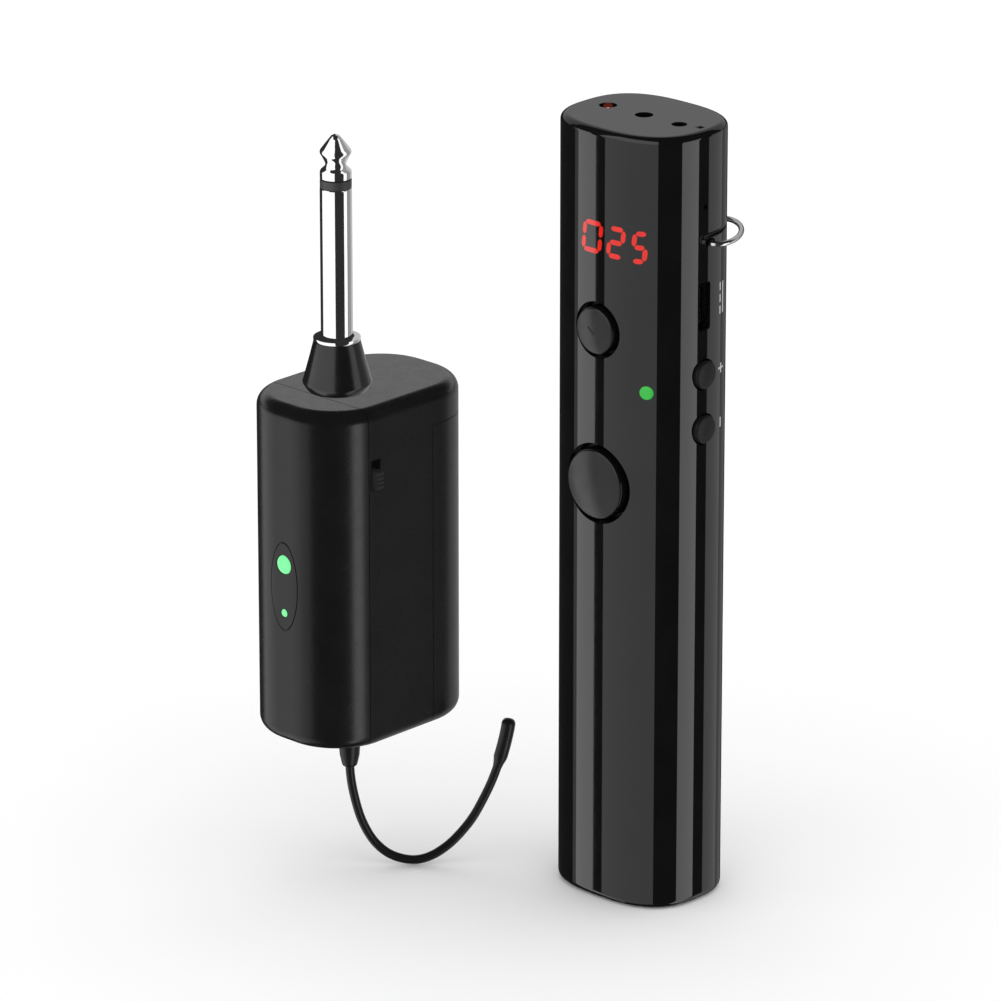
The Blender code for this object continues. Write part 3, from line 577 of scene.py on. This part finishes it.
def side_at(along):
    """The point on the narrow side's skin at a given y, and the normal there."""
    point = Vector((side_skin(along), along, 0))
    return point, section_normal(point.x, point.y)


def bar_pairs(start, end, thick, taper=0.55, steps=8):
    """A bar between two flat points as (left, right) pairs, its ends tapered over taper widths."""
    way = (end - start).normalized()
    out = Vector((-way.y, way.x))
    length = (end - start).length
    ramp = taper * thick
    shares = [0.0, 0.15, 0.35, 0.65, 1.0]
    alongs = [ramp * share for share in shares]
    alongs += [ramp + (length - 2 * ramp) * step / steps for step in range(1, steps)]
    alongs += [length - ramp * share for share in reversed(shares)]
    pairs = []
    for along in alongs:
        near = min(along, length - along) / ramp
        wide = thick / 2 * min(1.0, 0.12 + 0.88 * sqrt(min(near, 1.0)))
        pairs.append((start + way * along + out * wide, start + way * along - out * wide))
    return pairs


SEGMENTS = {"0": "abcdef", "2": "abged", "5": "afgcd"}
DIGITS = [("0", -3.45 * MM, 4.25 * MM, 0.0), ("2", 3.1 * MM, 3.2 * MM, -0.08 * MM),
          ("5", 8.75 * MM, 2.45 * MM, -0.25 * MM)]


def digit_bars(digit, left, wide, drop):
    """The lit bars of one digit, from its left edge along the skin, its width and its drop."""
    half = 2.8 * MM
    slant = tan(radians(6))
    gap = 0.2 * MM
    thick = 1.02 * MM
    corners = {"tl": (0, half), "tr": (wide, half), "ml": (0, 0), "mr": (wide, 0), "bl": (0, -half),
               "br": (wide, -half)}
    runs = {"a": ("tl", "tr"), "b": ("mr", "tr"), "c": ("br", "mr"), "d": ("bl", "br"),
            "e": ("bl", "ml"), "f": ("ml", "tl"), "g": ("ml", "mr")}

    def place(point):
        return Vector((left + point.x + slant * point.y, DISPLAY_Z + drop + point.y))

    bars = []
    for segment in SEGMENTS[digit]:
        first, last = (Vector(corners[corner]) for corner in runs[segment])
        trim = (last - first).normalized() * gap
        bar = bar_pairs(first + trim, last - trim, thick)
        bars.append([[place(point) for point in pair] for pair in bar])
    return bars


def tx_readout():
    """Three lit digits that shine through the skin, each of seven possible bars."""
    bars = [bar for digit in DIGITS for bar in digit_bars(*digit)]
    digits = skin_patch("tx_readout_digits", bars, 0.03 * MM, 0.4 * MM, "red_digits", front_at)


def strip_bar(centre_y, centre_z, half_y, half_z, steps=4):
    """A plain rectangular bar on the narrow side, as pairs up its height."""
    heights = [centre_z - half_z + 2 * half_z * step / steps for step in range(steps + 1)]
    return [(Vector((centre_y - half_y, z)), Vector((centre_y + half_y, z))) for z in heights]


def tx_marks():
    """A plus, a minus and the direct-current sign, printed beside the volume buttons and the slot."""
    beside = 5.5 * MM
    half = 1.0 * MM
    thick = 0.4 * MM
    arm = (half - thick / 2) / 2
    plus = [strip_bar(beside, UP_Z, thick / 2, half)]
    plus += [strip_bar(beside + sign * (thick / 2 + arm), UP_Z, arm, thick / 2) for sign in (-1, 1)]
    minus = [strip_bar(beside, DOWN_Z, thick / 2, half)]
    supply = [strip_bar(beside + 0.55 * MM, PORT_Z + 0.5 * MM, thick / 2, 3.2 * MM, 8)]
    supply += [strip_bar(beside - 0.55 * MM, PORT_Z + (0.5 + 2.4 * step) * MM, thick / 2, 0.8 * MM)
               for step in (-1, 0, 1)]
    for name, bars in (("tx_mark_plus", plus), ("tx_mark_minus", minus), ("tx_mark_supply", supply)):
        mark = skin_patch(name, bars, 0.02 * MM, 0.2 * MM, "print", side_at)


def domed_cap(name, face, axis, sizes, look="button"):
    """A round button with a gently domed face, on its flange and stem.

    sizes, in millimetres: cap radius, dome height, flange radius, then the distances inwards from the
    face to the flange's front, its back and the stem's end, and the stem's radius.
    """
    radius, dome, flange, front, back, end, stem = sizes
    edge = 0.5
    profile = [(radius * share, -dome * share * share) for share in (0, 0.15, 0.3, 0.45, 0.6, 0.72, 0.82)]
    shoulder = dome * ((radius - edge) / radius) ** 2
    for step in range(7):
        angle = pi / 2 * step / 6
        profile.append((radius - edge + edge * sin(angle), -shoulder - edge * (1 - cos(angle))))
    profile += [(radius, -front), (flange, -front), (flange, -back), (stem, -back), (stem, -end), (0, -end)]
    return turned(name, profile, face, look, axis, 96)


def finish_button(cap, node, body):
    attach(cap, body)
    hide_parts(node)


def tx_buttons():
    face = (0, -TX_HALF_Y - POWER_PROUD, POWER_Z)
    power = domed_cap("tx_power_cap", face, "-Y", (POWER_CAP, POWER_DOME / MM, 6.6, 4.3, 5.3, 12.9, 1.5))
    finish_button(power, "tx_power_button", "power_button")
    face = (0, -TX_HALF_Y - TALK_PROUD, TALK_Z)
    talk = domed_cap("tx_talk_cap", face, "-Y", (7.1, 0.55, 9.0, 5.1, 6.2, 13.0, 2.0))
    finish_button(talk, "tx_talk_button", "talk_button")
    for way, height in (("up", UP_Z), ("down", DOWN_Z)):
        face = (TX_HALF_X + VOLUME_PROUD, 0, height)
        cap = domed_cap("tx_volume_%s_cap" % way, face, "X", (2.85, 0.2, 3.9, 3.8, 4.7, 5.2, 1.2), "volume")
        finish_button(cap, "tx_volume_%s_button" % way, "volume_%s_button" % way)
    mark_on_power_cap()


def mark_on_power_cap():
    """A short slanting near-black bar set in the upper button's face: painted shade standing in for an
    engraved groove, not a recess.
    """
    centre = Vector((-0.5 * MM, 0))
    way = Vector((0.9, -0.72)) * MM
    shape = bmesh.new()
    rows = []
    for left, right in bar_pairs(centre - way, centre + way, 0.42 * MM, 0.4):
        row = []
        for point, depth in ((left, -0.02), (right, -0.02), (right, 0.2), (left, 0.2)):
            level = TX_HALF_Y + POWER_PROUD - POWER_DOME * point.length_squared / (POWER_CAP * MM) ** 2
            row.append(shape.verts.new((point.x, -level + depth * MM, POWER_Z + point.y)))
        rows.append(row)
    close_rows(shape, rows)
    # The bar's near-black material is painted shade standing in for the engraved groove
    item = from_shape("tx_power_mark", shape, "groove_shade")
    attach(item, "power_button")


def tx_status_lens():
    place, normal = status_place()
    profile = [(0, 0.08), (0.7, 0.06), (1.15, 0.01), (1.33, -0.06), (1.38, -0.2), (1.38, -6.0), (0, -6.0)]
    lens = turned("tx_status_lens", profile, (0, 0, 0), "green", sides=48)
    turn = normal.to_track_quat("Z", "Y").to_matrix().to_4x4()
    lens.data.transform(Matrix.Translation(place) @ turn)
    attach(lens, "transmitter")
    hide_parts("tx_status_light")


BAIL_START = Vector((16.0 * MM, 1.7 * MM, BAIL_Z))
BAIL_ALONG = Vector((-0.6, 0.8, 0))
BAIL_OUT = Vector((0.8, 0.6, 0))
BAIL_MIDDLE = 6.75
BAIL_RISE = 4.5
BAIL_WIRE = 0.55 * MM
BAIL_HOLE = 0.8 * MM


def bail_point(along, out):
    return BAIL_START + BAIL_ALONG * along * MM + BAIL_OUT * out * MM


def tx_bail():
    """The wire loop, its ends turned into the two holes."""
    half_span = BAIL_MIDDLE + 1.7
    centre = BAIL_MIDDLE
    route = [(2.6, 0), (1.8, 0), (1.0, 0), (0.3, 0), (-0.4, 0), (-1.05, 0.13), (-1.55, 0.45)]
    arc = []
    for step in range(21):
        angle = pi * (1 - step / 20)
        arc.append((centre + half_span * cos(angle), 0.9 + BAIL_RISE * sin(angle)))
    route = route + arc + [(2 * centre - along, out) for along, out in reversed(route)]
    points = smooth_line([bail_point(along, out) for along, out in route], 8)
    wire = wire_solid("tx_bail_wire", points, [BAIL_WIRE] * len(points), "bail", 20)
    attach(wire, "lanyard_bail")
    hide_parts("tx_lanyard_bail")


# ---------------------------------------------------------------- lines and wires

def smooth_line(knots, steps):
    """A smooth curve through every knot."""
    ends = [2 * knots[0] - knots[1]] + list(knots) + [2 * knots[-1] - knots[-2]]
    fine = []
    for index in range(1, len(ends) - 2):
        before, first, second, after = ends[index - 1:index + 3]
        for step in range(steps):
            t = step / steps
            fine.append(0.5 * ((2 * first) + (second - before) * t
                               + (2 * before - 5 * first + 4 * second - after) * t * t
                               + (3 * first - before - 3 * second + after) * t ** 3))
    fine.append(knots[-1].copy())
    return fine


def evenly(points, count):
    """The same line through evenly spaced points."""
    lengths = [0.0]
    for first, second in zip(points, points[1:]):
        lengths.append(lengths[-1] + (second - first).length)
    chosen = []
    index = 0
    for step in range(count):
        target = lengths[-1] * step / (count - 1)
        while index < len(points) - 2 and lengths[index + 1] < target:
            index += 1
        share = (target - lengths[index]) / (lengths[index + 1] - lengths[index])
        chosen.append(points[index].lerp(points[index + 1], min(share, 1)))
    return chosen


def wire_solid(name, points, radii, look, sides=16):
    """A round wire of changing radius along points, closed at both ends."""
    rings = []
    normal = Vector((0, 0, 1))
    if abs((points[1] - points[0]).normalized().z) > 0.9:
        normal = Vector((-sin(WHIP_HEADING), cos(WHIP_HEADING), 0))
    for index, point in enumerate(points):
        before = points[max(index - 1, 0)]
        after = points[min(index + 1, len(points) - 1)]
        way = (after - before).normalized()
        normal = (normal - way * normal.dot(way)).normalized()
        other = way.cross(normal)
        ring = []
        for k in range(sides):
            angle = 2 * pi * k / sides
            ring.append(point + (normal * cos(angle) + other * sin(angle)) * radii[index])
        rings.append(ring)
    return smooth(solid_from_rings(name, rings, look), 50)


# ---------------------------------------------------------------- receiver

def case_ring(inset, height, steps=24):
    """The case's outline, a rectangle with round corners, drawn in by inset."""
    half_x = RX_HALF_X - inset
    half_y = RX_HALF_Y - inset
    corner = max(RX_CORNER - inset, 0.5 * MM)
    ring = []
    for quarter, (side_x, side_y) in enumerate(((1, 1), (-1, 1), (-1, -1), (1, -1))):
        for step in range(steps + 1):
            angle = pi / 2 * (quarter + step / steps)
            x = side_x * (half_x - corner) + corner * cos(angle)
            y = side_y * (half_y - corner) + corner * sin(angle)
            ring.append(Vector((x, y, height)))
    return ring


def case_normal(point, face_normal):
    """The case's own normal on its outer skin, or None on cut edges and inside."""
    if abs(face_normal.z) > 0.9999:
        return Vector((0, 0, 1 if face_normal.z > 0 else -1))
    away_x = max(abs(point.x) - (RX_HALF_X - RX_CORNER), 0)
    away_y = max(abs(point.y) - (RX_HALF_Y - RX_CORNER), 0)
    reach = hypot(away_x, away_y)
    if reach < RX_CORNER - RX_EDGE - 1e-5:
        return None
    flat = Vector((away_x if point.x > 0 else -away_x, away_y if point.y > 0 else -away_y, 0)).normalized()
    level = Vector((face_normal.x, face_normal.y, 0))
    if level.length < 1e-6 or level.normalized().dot(flat) < 0.98:
        return None
    lift = 0.0
    if point.z > RX_HEIGHT - RX_EDGE:
        lift = (point.z - (RX_HEIGHT - RX_EDGE)) / RX_EDGE
    elif point.z < RX_EDGE:
        lift = (point.z - RX_EDGE) / RX_EDGE
    lift = max(-1.0, min(1.0, lift))
    return (flat * sqrt(max(0.0, 1 - lift * lift)) + Vector((0, 0, lift))).normalized()


def case_solid(name):
    """The whole case as one solid, with its rounded top and bottom edges."""
    steps = 10
    rings = []
    for step in range(steps + 1):
        angle = pi / 2 * step / steps
        rings.append(case_ring(RX_EDGE * (1 - sin(angle)), RX_EDGE * (1 - cos(angle))))
    for step in range(steps, -1, -1):
        angle = pi / 2 * step / steps
        rings.append(case_ring(RX_EDGE * (1 - sin(angle)), RX_HEIGHT - RX_EDGE * (1 - cos(angle))))
    return solid_from_rings(name, rings, "satin")


def case_cavity(low, high):
    return solid_from_rings("cutter", [case_ring(RX_WALL, low, 12), case_ring(RX_WALL, high, 12)], "dark")


def finish_case(item, node, body):
    true_normals(item, case_normal)
    item.data.transform(Matrix.Translation(RX_BASE))
    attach(item, body)
    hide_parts(node)


def slide_slot():
    return block((8 * MM, KNOB.y - SLOT_HALF, SLOT_Z[0]), (20 * MM, KNOB.y + SLOT_HALF, SLOT_Z[1]))


def rx_case():
    """Front and rear shells with the seam between them, and the battery door."""
    far = 200 * MM
    front = case_solid("rx_front_case")
    carve(front, block((-far, -far, -far), (far, SEAM_Y - SEAM_GAP / 2, far)), operation="INTERSECT")
    recess = plate_solid("cutter", 0.12 * MM, -RX_HALF_Y - 4 * MM, -RX_HALF_Y + 1.0 * MM, "dark")
    holes = [cylinder((0, -RX_HALF_Y - 5 * MM, spot.z), (0, 1, 0), radius * MM, 12 * MM, 48)
             for spot, radius in ((PAIR, 2.0), (POWER_LIGHT, 0.9))]
    carve(front, case_cavity(RX_WALL, RX_HEIGHT - RX_WALL), recess, *holes)
    finish_case(front, "rx_front_shell", "receiver")

    rear = case_solid("rx_rear_case")
    carve(rear, block((-far, SEAM_Y + SEAM_GAP / 2, -far), (far, far, far)), operation="INTERSECT")
    bay = block((-far, DOOR_Y - SEAM_GAP, -far), (far, far, DOOR_TOP + SEAM_GAP))
    carve(rear, case_cavity(RX_WALL, RX_HEIGHT - RX_WALL), slide_slot(), bay)
    carve(rear, block(*PARTITION), operation="UNION")
    shelves = [block((-9.5 * MM, 4.3 * MM, low * MM), (9.5 * MM, 14.5 * MM, high * MM))
               for low, high in ((5.2, 6.9), (55.6, 57.2))]
    carve(rear, *shelves, operation="UNION")
    screw_holes = [cylinder((x * MM, -4 * MM, z * MM), (0, 1, 0), 1.0 * MM, 14 * MM, 24)
                   for x, z in ((-8, 12), (8, 57))]
    plug_hole = cylinder((0, PLUG.y, 60 * MM), (0, 0, 1), 3.4 * MM, 20 * MM, 64)
    relief_hole = cylinder((0, ANTENNA.y, -5 * MM), (0, 0, 1), 1.8 * MM, 10 * MM, 48)
    carve(rear, plug_hole, relief_hole, *screw_holes)
    finish_case(rear, "rx_rear_shell", "receiver")

    door = case_solid("rx_door_cover")
    carve(door, block((-far, DOOR_Y, -far), (far, far, DOOR_TOP)), operation="INTERSECT")
    carve(door, case_cavity(RX_WALL, far))
    finish_case(door, "rx_battery_door", "battery_door")


def plate_solid(name, grow, low, high, look):
    """The oval of the light plate, between two depths along Y."""
    half_x, half_z = (half + grow for half in PLATE_HALF)
    ring = [Vector((half_x * point.x, low, PLATE.z + half_z * point.y)) for point in circle(1, 0, 96)]
    return solid_from_rings(name, [ring, [p + Vector((0, high - low, 0)) for p in ring]], look)


def case_front(x):
    """The front end's y at a given x."""
    away = max(abs(x) - (RX_HALF_X - RX_CORNER), 0)
    return -(RX_HALF_Y - RX_CORNER) - sqrt(RX_CORNER ** 2 - away ** 2)


def rx_lights():
    """The oval inlay, which follows the front end's curve, and the two lit windows in it."""
    rings = []
    lift = 0.04 * MM
    for share in (0.05, 0.3, 0.5, 0.7, 0.85, 0.95, 0.985, 1.0):
        drop = 0.08 * MM if share == 1.0 else 0.0
        ring = []
        for point in circle(share, 0, 96):
            x = (PLATE_HALF[0] - PLATE_TRIM) * point.x
            z = PLATE.z + (PLATE_HALF[1] - PLATE_TRIM) * point.y
            ring.append(Vector((x, case_front(x) - lift + drop, z)))
        rings.append(ring)
    rings.append([Vector((p.x, -RX_HALF_Y + 0.85 * MM, p.z)) for p in rings[-1]])
    plate = solid_from_rings("rx_inlay_plate", rings, "inlay")
    holes = [cylinder((0, -RX_HALF_Y - 5 * MM, spot.z), (0, 1, 0), radius * MM, 12 * MM, 64)
             for spot, radius in ((PAIR, 1.98), (POWER_LIGHT, 0.86))]
    carve(plate, *holes)
    smooth(plate, 30)
    place_receiver(plate, "rx_light_plate", "receiver")
    profile = [(0, 0), (1.2, -0.03), (1.6, -0.08), (1.8, -0.18), (1.9, -0.36), (1.9, -2.4), (2.8, -2.4),
               (2.8, -3.2), (0, -3.2)]
    pair = turned("rx_pair_lens", profile, (0, -RX_HALF_Y - 0.2 * MM, PAIR.z), "mint", "-Y")
    place_receiver(pair, "rx_pair_button", "pair_button")
    profile = [(0, 0), (0.5, -0.02), (0.72, -0.08), (0.8, -0.2), (0.8, -2.95), (0, -2.95)]
    small = turned("rx_power_lens", profile, (0, -RX_HALF_Y - 0.1 * MM, POWER_LIGHT.z), "mint", "-Y", 40)
    place_receiver(small, "rx_power_light", "receiver")


def place_receiver(item, node, body):
    """Move a receiver piece from the receiver's own frame to its place, and let it ride."""
    item.data.transform(Matrix.Translation(RX_BASE))
    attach(item, body)
    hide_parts(node)


def rx_knob():
    """The slide switch's knob with finger ridges, on the flange that holds it behind the slot."""
    half_wide = 0.9 * MM
    edge = 0.1 * MM
    low = KNOB.z - 1.8 * MM
    high = KNOB.z + 1.8 * MM
    root = 10 * MM
    face = 15.85 * MM
    foot = 0.28
    ridges = 4
    pitch = (high - low) / ridges
    outline = [(root, low)]
    for index in range(ridges):
        for share, depth in ((0.0, foot), (0.2, 0.05), (0.5, 0.0), (0.8, 0.05)):
            outline.append((face - depth * MM, low + pitch * (index + share)))
    outline += [(face - foot * MM, high), (root, high)]
    rings = []
    for y, inset in ((-half_wide, edge), (edge - half_wide, 0), (half_wide - edge, 0), (half_wide, edge)):
        rings.append([Vector((x - inset if x > root else x, KNOB.y + y, z)) for x, z in outline])
    knob = solid_from_rings("rx_slide_knob", rings, "knob")
    flange = block((9.8 * MM, KNOB.y - 2.1 * MM, KNOB.z - 4.6 * MM),
                   (11.2 * MM, KNOB.y + 2.1 * MM, KNOB.z + 4.6 * MM))
    carve(knob, flange, operation="UNION")
    smooth(knob, 25)
    place_receiver(knob, "rx_switch_knob", "switch_knob")


def rx_plug():
    """The jack plug, turned fine, with its washer and the conical boot."""
    place = (0, PLUG.y, 0)
    top = RX_HEIGHT / MM
    foot = 59
    collar = SLEEVE_TOP + 2
    tip = [(0, 123.0), (0.45, 122.95), (0.9, 122.7), (1.35, 122.1), (2.2, 121.0), (2.8, 120.2),
           (3.05, 119.85), (3.13, 119.5), (3.05, 119.15), (2.75, 118.65), (2.3, 117.8), (2.1, 117.35),
           (2.04, 117.0), (2.12, 116.65), (2.5, 116.25), (2.95, 115.85), (3.1, 115.6), (3.13, 115.3),
           (3.13, collar + 0.1), (3.05, collar), (0.7, collar), (0.7, foot - 1), (0, foot - 1)]
    ring = [(3.0, collar - 0.18), (3.12, collar - 0.25), (3.14, collar - 0.4), (3.14, SLEEVE_TOP + 0.3),
            (3.1, SLEEVE_TOP + 0.15), (1.3, SLEEVE_TOP + 0.1), (1.3, foot), (1.0, foot),
            (1.0, collar - 0.18)]
    sleeve = [(3.08, SLEEVE_TOP), (3.175, SLEEVE_TOP - 0.1), (3.175, foot + 1), (1.6, foot + 1),
              (1.6, SLEEVE_TOP)]
    washer = [(4.45, SHOULDER), (4.66, SHOULDER - 0.07), (4.7, SHOULDER - 0.2), (4.7, SHOULDER - 0.55),
              (4.62, SHOULDER - 0.7), (3.3, SHOULDER - 0.7), (3.3, SHOULDER)]
    cone = [(4.55, SHOULDER - 0.8), (4.68, SHOULDER - 0.95), (5.5, SHOULDER - 4.2), (6.75, top + 2.2),
            (6.9, top + 1.85), (6.83, top + 1.5), (6.0, top + 0.2), (5.85, top + 0.05), (3.475, top + 0.05),
            (3.475, SHOULDER - 0.8)]
    for name, profile, look, node, slot, sides in (
            ("rx_jack_tip", tip, "chrome", "rx_plug_tip", "chrome", 72),
            ("rx_jack_ring", ring, "dark", "rx_plug_insulator", "part_black", 72),
            ("rx_jack_sleeve", sleeve, "chrome", "rx_plug_sleeve", "chrome", 72),
            ("rx_jack_washer", washer, "chrome", "rx_plug_washer", "chrome", 72),
            ("rx_boot_cone", cone, "boot", "rx_plug_boot", "satin_black", 96)):
        item = turned(name, profile, place, look, sides=sides)
        place_receiver(item, node, "receiver")


def whip_points():
    """The whip's line from the case to its end, in the upright plane it hangs in."""
    across = Vector((cos(WHIP_HEADING), sin(WHIP_HEADING), 0))
    start = RX_BASE + Vector((0, ANTENNA.y, 0))
    knots = [start + across * s * MM + Vector((0, 0, h * MM)) for s, h in WHIP_ROUTE]
    return evenly(smooth_line(knots, 16), 160)


def length_of(points):
    return sum((b - a).length for a, b in zip(points, points[1:]))


def whip_end_radii(length, count):
    """The moulded end's radius along its length: it swells from the whip, then rounds off."""
    radius = WHIP_DIAMETER / 2
    swelling = 2.4 * MM
    nose = 1.1 * MM
    radii = []
    for index in range(count):
        at = length * index / (count - 1)
        swell = min(1.0, at / swelling)
        size = radius + 0.08 * MM + (0.42 * MM) * (1 - cos(pi * swell)) / 2
        left = length - at
        if left < nose:
            size *= sqrt(max(0.0, 1 - ((nose - left) / nose) ** 2)) * 0.75 + 0.25
        radii.append(size)
    return radii


def rx_antenna():
    """The relief, the whip in its J, and the thicker end, which is a rubber moulding."""
    points = whip_points()
    split = int(len(points) * TIP_SHARE)
    line = points[:split]
    radius = WHIP_DIAMETER / 2
    whip = wire_solid("rx_whip_line", line, [radius] * len(line), "rubber", 20)
    tip_line = evenly(points[split - 1:], 40)
    radii = whip_end_radii(length_of(tip_line), len(tip_line))
    tip = wire_solid("rx_whip_end", tip_line, radii, "rubber", 24)
    for item, node in ((whip, "rx_antenna_whip"), (tip, "rx_antenna_tip")):
        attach(item, "receiver")
        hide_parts(node)
    relief = [(2.6, 2.9), (2.6, 2.1), (1.6, 2.1), (1.6, -0.1), (2.15, -0.12), (2.3, -0.3), (2.3, -1.5),
              (2.2, -4.5), (2.0, -7.4), (1.6, -9.2), (1.45, -9.6), (1.25, -9.75), (1.0, -9.78), (1.0, 2.9)]
    item = turned("rx_whip_relief", relief, (0, ANTENNA.y, 0), "rubber", sides=48)
    place_receiver(item, "rx_antenna_relief", "receiver")


# ---------------------------------------------------------------- camera, floor and light

def make_camera():
    right = Vector((cos(CAMERA_AZIMUTH), sin(CAMERA_AZIMUTH), 0))
    level = cos(CAMERA_ELEVATION)
    back = Vector((sin(CAMERA_AZIMUTH) * level, -cos(CAMERA_AZIMUTH) * level, sin(CAMERA_ELEVATION)))
    up = back.cross(right)
    camera = bpy.data.objects.new("camera", bpy.data.cameras.new("camera"))
    camera.data.lens = CAMERA_LENS
    camera.data.sensor_width = 36
    camera.location = right * AIM_RIGHT + up * AIM_UP + back * CAMERA_DISTANCE
    camera.rotation_mode = "QUATERNION"
    camera.rotation_quaternion = (-back).to_track_quat("-Z", "Y")
    camera.data.clip_start = 0.05
    camera.data.clip_end = 50
    link(camera)
    bpy.context.scene.camera = camera


def make_floor():
    """A plain pale floor, just under the object."""
    half = 12.0
    mesh = bpy.data.meshes.new("floor")
    corners = [(-half, -half, 0), (half, -half, 0), (half, half, 0), (-half, half, 0)]
    mesh.from_pydata(corners, [], [(0, 1, 2, 3)])
    floor = link(bpy.data.objects.new("floor", mesh))
    floor.location = (0, 0, -0.0002)
    nodes = Nodes("studio_floor")
    nodes.set(Roughness=0.9)
    nodes.shader.inputs["Specular IOR Level"].default_value = 0.0
    shade = nodes.remap(nodes.noise(1.5, 2.0), 0, 1)
    nodes.link(nodes.mix(shade, (0.93, 0.93, 0.93), (0.95, 0.95, 0.95)), nodes.shader.inputs["Base Color"])
    mesh.materials.append(nodes.material)
    floor.visible_glossy = False
    floor.visible_shadow = False
    floor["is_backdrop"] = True


def make_world():
    """White to the camera and to diffuse light, and dark behind the strips in glossy reflections."""
    world = bpy.data.worlds.new("studio")
    world.use_nodes = True
    tree = world.node_tree
    base = tree.nodes["Background"]
    base.inputs["Color"].default_value = (1, 1, 1, 1)
    path = tree.nodes.new("ShaderNodeLightPath")
    glossy = tree.nodes.new("ShaderNodeMapRange")
    glossy.inputs["To Min"].default_value = 1.12
    glossy.inputs["To Max"].default_value = 0.03
    tree.links.new(path.outputs["Is Glossy Ray"], glossy.inputs["Value"])
    tree.links.new(glossy.outputs["Result"], base.inputs["Strength"])
    bpy.context.scene.world = world


def strip(name, centre, azimuths, elevations, radiance, group, distance=2.0):
    """A soft light panel round the set, between two azimuths and two elevations in degrees.

    It lights the pieces of one group only, and nothing outside the group shades them from it.
    """
    low, high = (radians(value) for value in azimuths)
    around = (low + high) / 2
    bottom, top = (distance * tan(radians(value)) for value in elevations)
    wide = 2 * distance * tan((high - low) / 2)
    tall = top - bottom
    data = bpy.data.lights.new(name, "AREA")
    data.shape = "RECTANGLE"
    data.size = wide
    data.size_y = tall
    data.energy = radiance * pi * wide * tall
    panel = link(bpy.data.objects.new(name, data))
    out = Vector((cos(around), sin(around), 0))
    panel.location = Vector(centre) + out * distance + Vector((0, 0, (bottom + top) / 2))
    panel.rotation_mode = "QUATERNION"
    panel.rotation_quaternion = (-out).to_track_quat("-Z", "Y")
    panel.visible_camera = False
    panel.light_linking.receiver_collection = group
    panel.light_linking.blocker_collection = group


def light_group(name, keep):
    """A collection of the pieces that a set of strips shines on."""
    group = bpy.data.collections.new(name)
    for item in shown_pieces():
        if keep(item.name):
            group.objects.link(item)
    return group


FRONT = (-129.9, -49.0)
BEHIND = (70.0, 200.0)
# Each strip: azimuths from and to in degrees, then radiance
STICK_STRIPS = [(-152.0, -146.8, 0.45), (-146.8, -132.7, 1.9), (*FRONT, 0.88), (9.5, 42.2, 1.85),
                (49.3, 78.0, 0.75), (78.0, 108.0, 0.3)]
CASE_STRIPS = [(-178.0, -112.0, 0.85), (-112.0, -92.0, 0.55), (-14.0, 6.0, 1.9), (8.0, 66.0, 0.13),
               (66.0, 132.0, 0.42)]
JACK_STRIPS = [(-158.0, -106.0, 1.25), (-106.0, -54.0, 1.25), (13.5, 40.5, 1.2), (44.0, 80.0, 0.3),
               (80.0, 134.0, 0.55)]
# Elevations from and to in degrees
BELOW = (-62, 3)
RIM = (3, 50)
ALL_ROUND = (-70, 60)
OVERHEAD = (10, 55)
LOW_OVERHEAD = (8, 30)


def make_lights():
    """Strips for the stick, the case and the plug, which each shine on their own pieces only."""
    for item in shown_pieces():
        item.visible_glossy = not item.name.startswith("rx_")
    jack_names = ("rx_jack_", "rx_plug", "rx_boot")
    stick = light_group("lit_stick", lambda name: name.startswith("tx_"))
    case = light_group("lit_case", lambda name: name.startswith("rx_") and not name.startswith(jack_names))
    jack = light_group("lit_jack", lambda name: name.startswith(jack_names))
    tx_centre = Vector((0, 0, 80 * MM))
    rx_centre = RX_BASE + Vector((0, 0, 35 * MM))
    for index, (low, high, radiance) in enumerate(STICK_STRIPS):
        strip("stick_strip_%d" % index, tx_centre, (low, high), BELOW, radiance, stick)
    strip("stick_rim", tx_centre, FRONT, RIM, 1.5, stick)
    strip("stick_top", tx_centre, BEHIND, OVERHEAD, 0.5, stick)
    for index, (low, high, radiance) in enumerate(CASE_STRIPS):
        strip("case_strip_%d" % index, rx_centre, (low, high), BELOW, radiance, case)
    strip("case_top", rx_centre, BEHIND, LOW_OVERHEAD, 0.78, case)
    for index, (low, high, radiance) in enumerate(JACK_STRIPS):
        strip("jack_strip_%d" % index, rx_centre, (low, high), ALL_ROUND, radiance, jack)


# ---------------------------------------------------------------- build

make_camera()
rx_antenna()
dress_frame()
tx_sleeve()
tx_buttons()
tx_status_lens()
tx_readout()
tx_marks()
tx_bail()
rx_case()
rx_lights()
rx_knob()
rx_plug()
make_floor()
make_world()
make_lights()
bpy.context.scene.view_settings.view_transform = "Standard"
